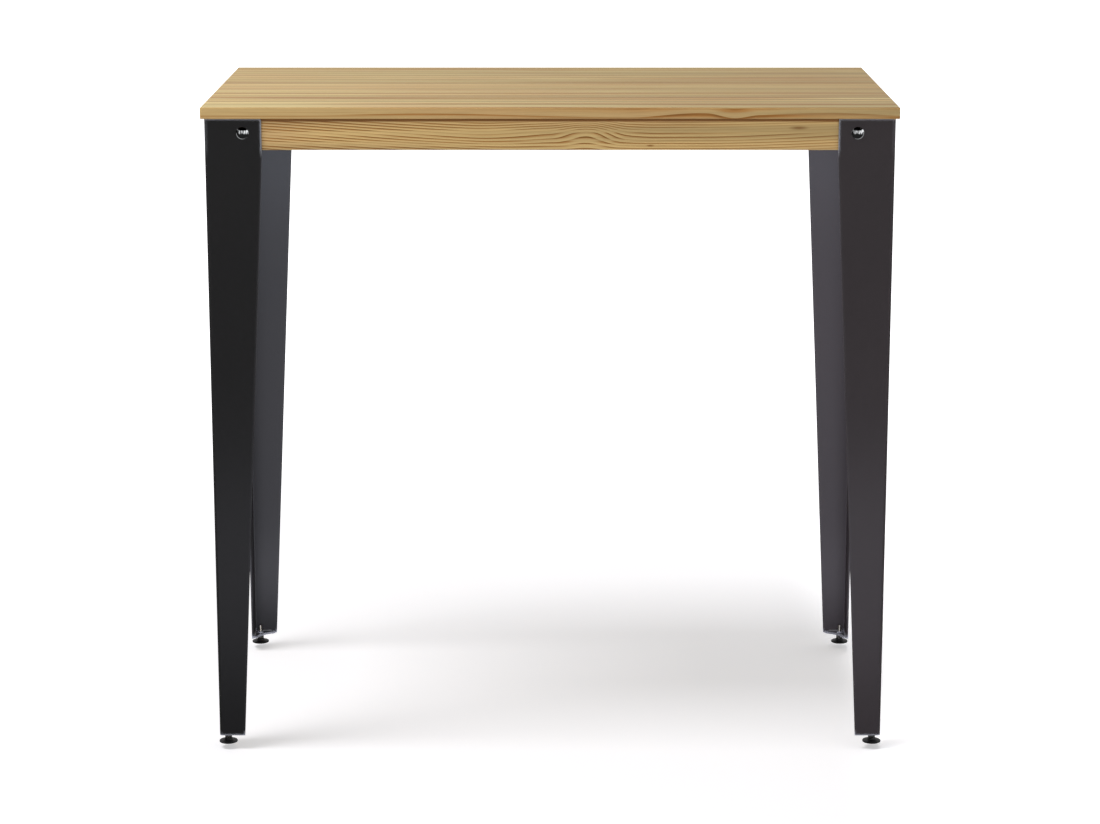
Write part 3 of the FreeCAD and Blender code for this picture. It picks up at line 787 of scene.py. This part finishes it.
# The short aprons and the rail run along Y, so what is across in them lies along -X
SHORT_CUTS = {
    "left_apron": Cut((545, 870), 5.2, 0.9, 0.94),
    "right_apron": Cut((-520, 1170), 5.8, 0.9, 0.94),
    "centre_rail": Cut((15, 900), 4.8, 0.9, 0.92),
}


class BARTABLE_OT_board(bpy.types.Operator):
    """Finish the board's staves in lacquered pine, each cut from another part of the tree"""
    bl_idname = "bar_table.board"
    bl_label = "Finish the board"
    bl_options = {"REGISTER", "UNDO"}

    def execute(self, context):
        early = chosen().wood.board_early
        for number, (stave, cut) in enumerate(zip(STAVES, BOARD_CUTS)):
            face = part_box(stave)[0].y
            show([stave], pine(f"lacquered_pine_stave_{number + 1}", cut, number, early, face))
        return {"FINISHED"}


class BARTABLE_OT_frame(bpy.types.Operator):
    """Finish the aprons and the rail in lacquered pine, and the dowels in raw beech"""
    bl_idname = "bar_table.frame"
    bl_label = "Finish the frame"
    bl_options = {"REGISTER", "UNDO"}

    def execute(self, context):
        early = chosen().wood.early
        for number, (node, cut) in enumerate((LONG_CUTS | SHORT_CUTS).items(), start=len(STAVES)):
            low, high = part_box(node)
            face = low.y if node == "front_apron" else high.y
            crosswise = node in SHORT_CUTS
            show([node], pine(f"lacquered_pine_{node}", cut, number, early, face, crosswise))
        show(["frame_dowels"], beech("raw_beech"))
        return {"FINISHED"}


FOOT_PLATE_THICKNESS = 3.5 * MM
# Painted light: how far the coat on the table's left and right goes from black towards the
# lighter, warmer colour, as if the right were better lit. The welds take the middle
COAT_LIT_SHARES = {-1: 0.0, 1: 0.9}
WELD_LIT_SHARE = 0.5
# A bead starts clear of the fold, and reaches a little into both plates
WELD_START = 6 * MM
WELD_OVERLAP = 0.4 * MM
WELD_ARC_POINTS = 9
POINTS_PER_RIPPLE = 6


class BARTABLE_OT_legs(bpy.types.Operator):
    """Powder coat the folded legs and their foot plates, and lay the weld beads between them"""
    bl_idname = "bar_table.legs"
    bl_label = "Finish the legs"
    bl_options = {"REGISTER", "UNDO"}

    def execute(self, context):
        beads = []
        for corner in CORNERS:
            side, depth, outer = corner_of(corner)
            coat = powder_coat(f"powder_coat_{corner}", COAT_LIT_SHARES[side])
            show([f"{corner}_leg", f"{corner}_foot_plate"], coat)
            low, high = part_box(f"{corner}_foot_plate")
            reach = high.x - low.x - PLATE_THICKNESS
            inner = np.array([outer[0], outer[1], low.z + FOOT_PLATE_THICKNESS])
            inwards = (np.array([-side, 0.0, 0.0]), np.array([0.0, -depth, 0.0]))
            for along, wall in (inwards, inwards[::-1]):
                start = inner + wall * PLATE_THICKNESS + along * WELD_START
                beads.append(weld_bead(start, along, wall, reach))
        add_piece("foot_plate_welds", joined(beads), powder_coat("powder_coat_welds", WELD_LIT_SHARE),
                  "table", sharp=60)
        return {"FINISHED"}


def weld_bead(start, along, wall, reach):
    """A rippled fillet bead in the corner between a standing plate and a lying one.

    Its section at s along it is a quarter circle that bulges out of the corner, with a radius of
    its leg times 0.88 + 0.12 |sin(pi s / ripple)|, closed through a point a little inside both
    plates, and it shrinks to nothing over its ends.
    """
    steel = chosen().steel
    s = np.arange(0, reach - WELD_START, steel.ripple / POINTS_PER_RIPPLE)
    ends = np.sqrt(np.clip(np.minimum(s, s[-1] - s) / steel.weld, 0.02, 1))
    radius = steel.weld * (0.88 + 0.12 * np.abs(np.sin(np.pi * s / steel.ripple))) * ends
    angle = np.radians(np.linspace(0, 90, WELD_ARC_POINTS))
    inside = np.concatenate([[-WELD_OVERLAP], np.zeros(WELD_ARC_POINTS)])
    across = inside + radius[:, None] * np.concatenate([[0], np.cos(angle)])
    upward = inside + radius[:, None] * np.concatenate([[0], np.sin(angle)])
    grid = start + s[:, None, None] * along + across[..., None] * wall + upward[..., None] * UP
    if np.dot(np.cross(wall, UP), along) < 0:
        grid = grid[:, ::-1]
    return skin(grid)


class BARTABLE_OT_coach_bolts(bpy.types.Operator):
    """Build the domed coach bolts with their square necks and threads"""
    bl_idname = "bar_table.coach_bolts"
    bl_label = "Build the coach bolts"
    bl_options = {"REGISTER", "UNDO"}

    def execute(self, context):
        bolts = copies(coach_bolt(), plate_places(0))
        add_piece("domed_coach_bolts", bolts, chrome_plate(), "table",
                  ["coach_bolts"])
        return {"FINISHED"}


NECK_SIDE = 8.5 * MM
NECK_DEPTH = 5.5 * MM
# Half the neck's diagonal, with its corners blunt, as a share of its side
NECK_CORNER_SHARE = 0.62
HEAD_RIM = 0.9 * MM
HEAD_EASE = 0.35 * MM
# How far from its pole, in degrees, the dome's first ring is
POLE_GAP = 0.7
# Where two faces of a turned or moulded piece meet
FINE_CHAMFER = 0.2 * MM
BOLT_THREAD_START = 12 * MM
BOLT_THREAD_RUN_IN = 0.5 * MM
BOLT_TIP = 0.4 * MM
BOLT_TIP_BEVEL = 1 * MM
# A metric thread's depth, as a share of its pitch
THREAD_DEPTH_SHARE = 0.55


def coach_bolt():
    """A domed head under z = 0, a square neck over it and a threaded shank.

    The head is a spherical cap on a low rim, and the neck's radius is half its side over the
    greater of |cos a| and |sin a|, so a square.
    """
    sizes = chosen().fastening
    radius = sizes.bolt_head / 2
    cap = sizes.bolt_head_height - HEAD_RIM
    sphere = (radius ** 2 + cap ** 2) / (2 * cap)
    middle = sphere - sizes.bolt_head_height
    edge = math.degrees(math.asin((radius - HEAD_EASE) / sphere))
    dome = arc((0, middle), sphere, -90 + POLE_GAP, -90 + edge, 14)
    ease = arc((radius - HEAD_EASE, -HEAD_RIM), HEAD_EASE, -50, 0, 4)
    under = [[radius, -FINE_CHAMFER], [radius - FINE_CHAMFER, 0], [NECK_SIDE / 2, 0]]
    profile = np.vstack([dome, ease, under])
    head = skin(rings(profile[:, 0], profile[:, 1], 72))

    columns = 32
    greater = np.maximum(np.abs(np.cos(turns(columns))), np.abs(np.sin(turns(columns))))
    square = np.minimum(NECK_SIDE / 2 / greater, NECK_CORNER_SHARE * NECK_SIDE)
    shank = sizes.bolt / 2
    neck = rings([square, square, np.full(columns, shank)],
                 [-HEAD_EASE, NECK_DEPTH - HEAD_EASE, NECK_DEPTH], columns)
    plain = rings([shank], [BOLT_THREAD_START - BOLT_THREAD_RUN_IN], columns)
    worm = thread(shank, THREAD_DEPTH_SHARE * sizes.bolt_pitch, sizes.bolt_pitch,
                  BOLT_THREAD_START, sizes.bolt_length - BOLT_TIP, columns, 8, sizes.bolt_pitch)
    tip = rings([shank - BOLT_TIP_BEVEL], [sizes.bolt_length], columns)
    return joined([head, skin(np.vstack([neck, plain, worm, tip]))])


class BARTABLE_OT_washers(bpy.types.Operator):
    """Build the washers under the coach bolts' nuts"""
    bl_idname = "bar_table.washers"
    bl_label = "Build the washers"
    bl_options = {"REGISTER", "UNDO"}

    def execute(self, context):
        washers = copies(washer(), plate_places(PLATE_THICKNESS + APRON_THICKNESS))
        add_piece("plated_washers", washers, zinc_plate(), "table",
                  ["bolt_washers"])
        return {"FINISHED"}


WASHER_THICKNESS = 2 * MM
WASHER_CLEARANCE = 0.3 * MM
WASHER_EASE = 0.5 * MM
PUNCHED_EDGE = 0.1 * MM


def washer():
    """A flat ring, rounded on one side and sharp on the other, as a punch leaves it."""
    sizes = chosen().fastening
    outer = sizes.washer / 2
    bore = sizes.bolt / 2 + WASHER_CLEARANCE
    level = WASHER_THICKNESS - WASHER_EASE
    profile = np.vstack([
        [[bore, 0], [outer - PUNCHED_EDGE, 0], [outer, PUNCHED_EDGE]],
        arc((outer - WASHER_EASE, level), WASHER_EASE, 0, 90, 5),
        arc((bore + WASHER_EASE, level), WASHER_EASE, 90, 180, 5),
    ])
    return skin(rings(profile[:, 0], profile[:, 1], 64), ring_shaped=True)


class BARTABLE_OT_nuts(bpy.types.Operator):
    """Build the hexagon nuts on the coach bolts"""
    bl_idname = "bar_table.nuts"
    bl_label = "Build the nuts"
    bl_options = {"REGISTER", "UNDO"}

    def execute(self, context):
        seat = PLATE_THICKNESS + APRON_THICKNESS + WASHER_THICKNESS
        add_piece("plated_hex_nuts", copies(nut(), plate_places(seat)), zinc_plate(), "table",
                  ["hex_nuts"], sharp=20)
        return {"FINISHED"}


NUT_HEIGHT = 6.5 * MM
NUT_MOUTH = 0.6 * MM


def nut():
    """A hexagon nut: its crowned outside, and a bore whose mouths open at 45 degrees."""
    sizes = chosen().fastening
    columns = 72
    bore = sizes.bolt / 2
    mouth = bore + NUT_MOUTH
    inside = rings([mouth, bore, bore, mouth],
                   [NUT_HEIGHT, NUT_HEIGHT - NUT_MOUTH, NUT_MOUTH, 0], columns)
    outside = crowned_hexagon(sizes.nut, 0, NUT_HEIGHT, columns)
    return skin(np.vstack([outside, inside]), ring_shaped=True)


class BARTABLE_OT_screws(bpy.types.Operator):
    """Build the wood screws that hold the board down"""
    bl_idname = "bar_table.screws"
    bl_label = "Build the wood screws"
    bl_options = {"REGISTER", "UNDO"}

    def execute(self, context):
        screws = copies(wood_screw(), screw_places())
        add_piece("pan_head_screws", screws, zinc_plate(), "table",
                  ["top_screws"])
        return {"FINISHED"}


SCREW_LENGTH = 40 * MM
SCREW_TIP = 5 * MM
SCREW_POINT = 0.05 * MM
SCREW_RIM = 0.8 * MM
SCREW_HEAD_CHAMFER = 0.3 * MM
SCREW_THREAD_DEPTH = 0.6 * MM
SCREW_PITCH = 2 * MM
# The thread starts a little inside the head
SCREW_SINK = 0.2 * MM
# The cross recess: half its slots' width, their reach, its depth and how far its walls are eased
CROSS_HALF_WIDTH = 0.65 * MM
CROSS_REACH = 2.1 * MM
CROSS_DEPTH = 1.4 * MM
CROSS_SIDE_EASE = 0.2 * MM
CROSS_END_EASE = 0.3 * MM


def wood_screw():
    """A pan head with a cross recess under z = 0, and a pointed coarse thread over it.

    The head is a low cap, z = rise (r / R)^2, and the recess sinks it by its depth wherever the
    smaller of |x| and |y| is inside a slot's half width and r inside the slot's reach.
    """
    sizes = chosen().fastening
    radius = sizes.screw_head / 2
    columns = 48
    reach = (np.linspace(0.06, 1, 18) * (radius - SCREW_HEAD_CHAMFER))[:, None]
    x = reach * np.cos(turns(columns))
    y = reach * np.sin(turns(columns))
    off = np.minimum(np.abs(x), np.abs(y))
    slot = np.clip((CROSS_HALF_WIDTH - off) / CROSS_SIDE_EASE, 0, 1)
    inside = np.clip((CROSS_REACH - reach) / CROSS_END_EASE, 0, 1)
    cap = (SCREW_HEAD_HEIGHT - SCREW_RIM) * (reach / radius) ** 2
    face = np.stack([x, y, cap - SCREW_HEAD_HEIGHT + CROSS_DEPTH * slot * inside], axis=-1)
    rim = rings([radius, radius, sizes.screw / 2], [-SCREW_RIM, 0, 0], columns)
    head = skin(np.vstack([face, rim]))

    columns = 20
    worm = thread(sizes.screw / 2, SCREW_THREAD_DEPTH, SCREW_PITCH, -SCREW_SINK,
                  SCREW_LENGTH - SCREW_TIP, columns, 6, SCREW_PITCH)
    point = rings([SCREW_POINT], [SCREW_LENGTH], columns)
    return joined([head, skin(np.vstack([worm, point]))])


class BARTABLE_OT_pads(bpy.types.Operator):
    """Build the levelling feet's moulded pads"""
    bl_idname = "bar_table.pads"
    bl_label = "Build the foot pads"
    bl_options = {"REGISTER", "UNDO"}

    def execute(self, context):
        plastic = moulded_nylon()
        for corner, middle, height in foot_places("foot_pad"):
            pad = copies(foot_pad(height), [(middle, UPRIGHT)])
            add_piece(f"{corner}_levelling_pad", pad, plastic, f"{corner}_foot",
                      [f"{corner}_foot_pad"])
        return {"FINISHED"}


PAD_RIM = 2.4 * MM
PAD_RISE = 1.4 * MM
PAD_EASE = 0.6 * MM
# The underside from the middle out, in shares of the pad's radius and of its groove's depth
UNDERSIDE = ((0.2, 0), (0.62, 0), (0.64, 1), (0.76, 1), (0.78, 0))
PAD_GROOVE = 0.4 * MM
HUB = 15 * MM
HUB_TOP = 12 * MM
# The hollow between the hub and the disc: its radius, and its centre's height over the disc
WAIST = 1.2 * MM
WAIST_LIFT = 1.1 * MM
PIN_LENGTH = 4.5 * MM
PIVOT_CLEARANCE = 0.1 * MM


def foot_pad(height):
    """A disc with a rounded rim that rises to a hub, whose bore takes the screw's pin.

    Its section runs out under the disc, over a ring groove, round the rim, in along a shallow
    cone, up the hub and down the bore.
    """
    sizes = chosen().foot
    radius = sizes.pad / 2
    bore = sizes.stud / 2 + PIVOT_CLEARANCE
    profile = np.vstack([
        np.array(UNDERSIDE) * (radius, PAD_GROOVE),
        arc((radius - PAD_EASE, PAD_EASE), PAD_EASE, -90, 0, 6),
        arc((radius - PAD_EASE, PAD_RIM - PAD_EASE), PAD_EASE, 0, 82, 6),
        arc((HUB / 2 + WAIST, PAD_RIM + PAD_RISE + WAIST_LIFT), WAIST, 262, 190, 6),
        arc((HUB_TOP / 2 - PAD_EASE, height - PAD_EASE), PAD_EASE, 10, 90, 6),
        [[bore + FINE_CHAMFER, height], [bore, height - FINE_CHAMFER], [bore, height - PIN_LENGTH]],
    ])
    return skin(rings(profile[:, 0], profile[:, 1], 80))


class BARTABLE_OT_studs(bpy.types.Operator):
    """Build the levelling feet's screws"""
    bl_idname = "bar_table.studs"
    bl_label = "Build the foot screws"
    bl_options = {"REGISTER", "UNDO"}

    def execute(self, context):
        metal = nickel_plate()
        for corner, middle, height in foot_places("foot_stud"):
            stud = copies(foot_stud(height), [(middle, UPRIGHT)])
            add_piece(f"{corner}_levelling_screw", stud, metal, f"{corner}_foot_screw",
                      [f"{corner}_foot_stud"], sharp=28)
        return {"FINISHED"}


STUD_HEX_HEIGHT = 6 * MM
STUD_CHAMFER = 0.8 * MM
STUD_TIP = 0.3 * MM
STUD_THREAD_GAP = 0.1 * MM
PIN_CHAMFER = 0.4 * MM


def foot_stud(height):
    """A plain pin, a crowned hexagon over it and a threaded rod with a chamfered tip."""
    sizes = chosen().foot
    columns = 48
    radius = sizes.stud / 2
    depth = THREAD_DEPTH_SHARE * sizes.stud_pitch
    shoulder = PIN_LENGTH + STUD_HEX_HEIGHT
    pin = rings([radius - PIN_CHAMFER, radius, radius], [0, PIN_CHAMFER, PIN_LENGTH], columns)
    hexagon = crowned_hexagon(sizes.hexagon, PIN_LENGTH, shoulder, columns)
    collar = rings([radius, radius - depth], np.full(2, shoulder), columns)
    worm = thread(radius, depth, sizes.stud_pitch, shoulder + STUD_THREAD_GAP, height - STUD_TIP,
                  columns, 9, sizes.stud_pitch)
    tip = rings([radius - STUD_CHAMFER], [height], columns)
    return skin(np.vstack([pin, hexagon, collar, worm, tip]))


# Floor, light and camera

FLOOR_HALF = 30.0
FLOOR_WHITE = (0.795, 0.785, 0.81, 1)
# Between which distances from the table's middle the floor comes to glow by itself, and how much
FLOOR_FADE = (0.7, 2.8)
FLOOR_FADE_GLOW = 0.7
# The white that the camera sees behind the table
BACKDROP = 1.1
# The frame that the lens is given for, in millimetres
SENSOR_WIDTH = 36


class LightPanel(NamedTuple):
    """A panel of light: its place, the point it is aimed at, its width and its height."""
    place: tuple
    target: tuple
    width: float
    height: float


FLOOR_KEY = LightPanel((-5.2, -1.9, 10), (-5.2, -1.9, 0), 5.7, 3.3)
FLOOR_BESIDE = LightPanel((1.35, 0.1, 2), (1.35, 0.1, 0), 1.6, 2.2)
FLOOR_BESIDE_SPREAD = math.radians(6)
LEFT_SOFT = LightPanel((-2.2, -0.6, 3.2), (0.1, 0, 0.9), 1.5, 1.5)
FRONT_SOFT = LightPanel((-0.8, -3.8, 3.2), (0, 0, 0.9), 2, 1.2)
UNDER_FASTENINGS = LightPanel((0, 0, 0.1), (0, 0, 1), 2, 1.5)

# Panels that reach one leg alone, given for a leg on the right, by its side of the table, -1 for
# the front and 1 for the back: a name, a share of the power, a colour and the panel
LEG_PANELS = {
    -1: (("front", 0.75, "f0f0ff", LightPanel((0.52, -0.75, 0), (0.52, 0, 0), 0.4, 0.7)),),
    1: (("front", 0.88, "f0f0ff", LightPanel((0.51, 0.05, 0.3), (0.51, 0.3, 0.3), 0.24, 1.2)),
        ("high", 0.55, "dfeaff", LightPanel((0.51, -0.2, 0.95), (0.51, 0.3, 0.95), 0.3, 0.3)),
        ("low", 0.045, "f0f0ff", LightPanel((0.51, 0.1, 0.07), (0.51, 0.3, 0.05), 0.2, 0.12)),
        ("behind", 0.4, "f0f0ff", LightPanel((0.46, 0.75, 0.42), (0.5, 0.3, 0.42), 0.3, 1.1))),
}
LEG_SHARES = {"front_left": 0.6, "front_right": 0.95, "back_right": 0.94, "back_left": 1.1}
LIT_FROM_BELOW = ("plated_washers", "plated_hex_nuts", "pan_head_screws")


class BARTABLE_OT_stage(bpy.types.Operator):
    """Set up the white floor, the soft light and the camera"""
    bl_idname = "bar_table.stage"
    bl_label = "Set up the stage"
    bl_options = {"REGISTER", "UNDO"}

    def execute(self, context):
        stage = chosen().stage
        context.scene.view_settings.view_transform = "Standard"
        floor = lay_floor(stage.floor)
        light_room(stage.room)
        light_only(add_light("floor_key", stage.key, FLOOR_KEY), [floor])
        beside = add_light("floor_beside", stage.beside, FLOOR_BESIDE)
        beside.data.spread = FLOOR_BESIDE_SPREAD
        light_only(beside, [floor])
        for name, watts, panel in (
            ("left_soft_light", stage.side, LEFT_SOFT),
            ("front_soft_light", stage.front, FRONT_SOFT),
        ):
            light = add_light(name, watts, panel)
            light.visible_glossy = False
            light_all_but(light, [floor])
        below = add_light("fastening_light", stage.fastening, UNDER_FASTENINGS)
        light_only(below, [built(name) for name in LIT_FROM_BELOW])
        light_legs(stage.glow, floor)
        set_camera(stage)
        return {"FINISHED"}


def built(name):
    """A piece that an earlier operator built."""
    if name not in bpy.data.objects:
        raise RuntimeError(f"{name} has to be built before the stage is set up")
    return bpy.data.objects[name]


def light_legs(watts, floor):
    """Lifts each leg out of the dark with panels of its own, which only the floor shades."""
    shading = bpy.data.collections.new("underfoot")
    shading.objects.link(floor)
    for corner in CORNERS:
        side, depth, _ = corner_of(corner)
        turn = (side, 1, 1)
        parts = [frame["nodes"][f"{corner}_leg"], frame["nodes"][f"{corner}_foot_plate"],
                 built(f"{corner}_levelling_screw")]
        for name, part, code, panel in LEG_PANELS[depth]:
            turned = panel._replace(
                place=np.multiply(panel.place, turn), target=np.multiply(panel.target, turn))
            light = add_light(f"{corner}_{name}_panel", part * watts * LEG_SHARES[corner], turned)
            light.data.color = linear(code)
            light_only(light, parts)
            light.light_linking.blocker_collection = shading


def light_only(light, objects):
    """Keeps a light to a few objects."""
    lit = bpy.data.collections.new(f"lit_by_{light.name}")
    for item in objects:
        lit.objects.link(item)
    light.light_linking.receiver_collection = lit


def light_all_but(light, objects):
    """Keeps a light off a few objects."""
    light_only(light, objects)
    for member in light.light_linking.receiver_collection.collection_objects:
        member.light_linking.link_state = "EXCLUDE"


def lay_floor(glow):
    """A white floor, seen only from above.

    It lies the feet's whole travel under the pads, so that no foot sinks into it when screwed out.
    """
    travel = max(joint["range_m"][1] for joint in frame["joints"] if joint["type"] == "slide")
    level = CAD_BOX[0].z - travel
    corner = np.array([[-1, -1], [1, -1], [1, 1], [-1, 1]]) * FLOOR_HALF
    points = np.column_stack([corner, np.full(4, level)])
    mesh = bpy.data.meshes.new("floor")
    mesh.from_pydata(points.tolist(), [], [[0, 1, 2, 3]])
    floor = bpy.data.objects.new("floor", mesh)
    bpy.context.scene.collection.objects.link(floor)
    floor.visible_glossy = False

    material, add, place = new_material("white_floor")
    reach = add("VectorMath", place, take="Value", operation="LENGTH")
    far = add("MapRange", reach, *FLOOR_FADE, 0, FLOOR_FADE_GLOW, **EASED)
    seen = add("LightPath", take="Is Camera Ray")
    emitted = add("Emission", (1, 1, 1, 1), add("Math", seen, glow, far, **TIMES_PLUS))
    white = add("AddShader", add("BsdfDiffuse", FLOOR_WHITE), emitted)
    under = add("NewGeometry", take="Backfacing")
    add("OutputMaterial", add("MixShader", under, white, add("BsdfTransparent")))
    mesh.materials.append(material)
    return floor


def light_room(brightness):
    """A white room. Glossy surfaces see a dark one with a bright band of upright windows round it."""
    world = bpy.data.worlds.new("white_room")
    bpy.context.scene.world = world
    world.use_nodes = True
    world.cycles.sampling_method = "NONE"
    world.node_tree.nodes.clear()
    add = functools.partial(add_node, world.node_tree)

    way = add("TexCoord", take="Generated")
    east, north, rise = (add("SeparateXYZ", way, take=axis) for axis in "XYZ")
    slanted = add("Mapping", way, inputs={"Rotation": (0, 0.4, 0), "Scale": (9, 2, 1.4)})
    windows = add("TexNoise", slanted, inputs={"Scale": 1, "Detail": 1})
    # Each part of the dark room is a product of factors: a value, the range over which it counts,
    # and what it comes to at either end
    behind = ((north, 0.05, 0.4, 0, 1), (rise, -0.3, -0.05, 0, 1), (windows, 0.44, 0.56, 0.4, 0.84))
    front = ((north, 0.05, -0.1, 0, 1), (rise, -0.26, -0.16, 0, 1), (rise, 0.42, 0.58, 1, 0),
             (east, -0.85, -0.7, 0, 1), (windows, 0.5, 0.56, 0.02, 1.35))
    beside = add("Math", north, operation="ABSOLUTE")
    skirting = ((beside, 0.22, 0.1, 0.02, 0.5), (rise, 0.1, -0.2, 0, 1))
    shiny = 0
    for factors in (behind, front, skirting):
        level = 1
        for factor in factors:
            level = add("Math", level, add("MapRange", *factor, **EASED), **TIMES)
        shiny = add("Math", shiny, level, operation="ADD")
    glossy = add("LightPath", take="Is Glossy Ray")
    seen = add("Mix", glossy, inputs={"A_Float": brightness, "B_Float": shiny})
    camera = add("LightPath", take="Is Camera Ray")
    full = add("Mix", camera, inputs={"A_Float": seen, "B_Float": BACKDROP})
    add("OutputWorld", add("Background", (1, 1, 1, 1), full))


def add_light(name, watts, panel):
    """A panel of light that no camera sees."""
    data = bpy.data.lights.new(name, "AREA")
    data.energy = watts
    data.shape = "RECTANGLE"
    data.size = panel.width
    data.size_y = panel.height
    light = bpy.data.objects.new(name, data)
    bpy.context.scene.collection.objects.link(light)
    light.location = panel.place
    aim = Vector(panel.target) - Vector(panel.place)
    light.rotation_euler = aim.to_track_quat("-Z", "Y").to_euler()
    light.visible_camera = False
    return light


def set_camera(stage):
    """A camera in front of the table, looking down at it."""
    data = bpy.data.cameras.new("camera")
    data.sensor_width = SENSOR_WIDTH
    data.lens = stage.lens
    camera = bpy.data.objects.new("camera", data)
    bpy.context.scene.collection.objects.link(camera)
    camera.location = (0, -stage.distance, stage.height)
    camera.rotation_euler = (math.pi / 2 - stage.pitch, 0, 0)
    bpy.context.scene.camera = camera


OPERATORS = (
    BARTABLE_OT_board,
    BARTABLE_OT_frame,
    BARTABLE_OT_legs,
    BARTABLE_OT_coach_bolts,
    BARTABLE_OT_washers,
    BARTABLE_OT_nuts,
    BARTABLE_OT_screws,
    BARTABLE_OT_pads,
    BARTABLE_OT_studs,
    BARTABLE_OT_stage,
)


class BARTABLE_PT_finish(bpy.types.Panel):
    """Lists the settings and the steps that finish the table"""
    bl_idname = "BARTABLE_PT_finish"
    bl_label = "Bar table"
    bl_space_type = "VIEW_3D"
    bl_region_type = "UI"
    bl_category = "Bar table"

    def draw(self, context):
        groups = context.scene.bar_table
        for name in ("wood", "steel", "fastening", "foot", "stage"):
            box = self.layout.box()
            box.label(text=name.capitalize())
            group = getattr(groups, name)
            for field in group.__annotations__:
                box.prop(group, field)
        for operator in OPERATORS:
            self.layout.operator(operator.bl_idname)


CLASSES = (
    WoodSettings,
    SteelSettings,
    FasteningSettings,
    FootSettings,
    StageSettings,
    BarTableSettings,
    *OPERATORS,
    BARTABLE_PT_finish,
)


def register():
    """Makes the settings, the steps and the panel known to Blender."""
    for kind in CLASSES:
        bpy.utils.register_class(kind)
    bpy.types.Scene.bar_table = bpy.props.PointerProperty(
        type=BarTableSettings, name="Bar table", description="Sizes and colours of the table")


def unregister():
    """Takes the settings, the steps and the panel out again."""
    del bpy.types.Scene.bar_table
    for kind in reversed(CLASSES):
        bpy.utils.unregister_class(kind)


def main():
    """Finishes the table step by step."""
    register()
    bpy.ops.bar_table.board()
    bpy.ops.bar_table.frame()
    bpy.ops.bar_table.legs()
    bpy.ops.bar_table.coach_bolts()
    bpy.ops.bar_table.washers()
    bpy.ops.bar_table.nuts()
    bpy.ops.bar_table.screws()
    bpy.ops.bar_table.pads()
    bpy.ops.bar_table.studs()
    bpy.ops.bar_table.stage()


if __name__ == "__main__":
    main()
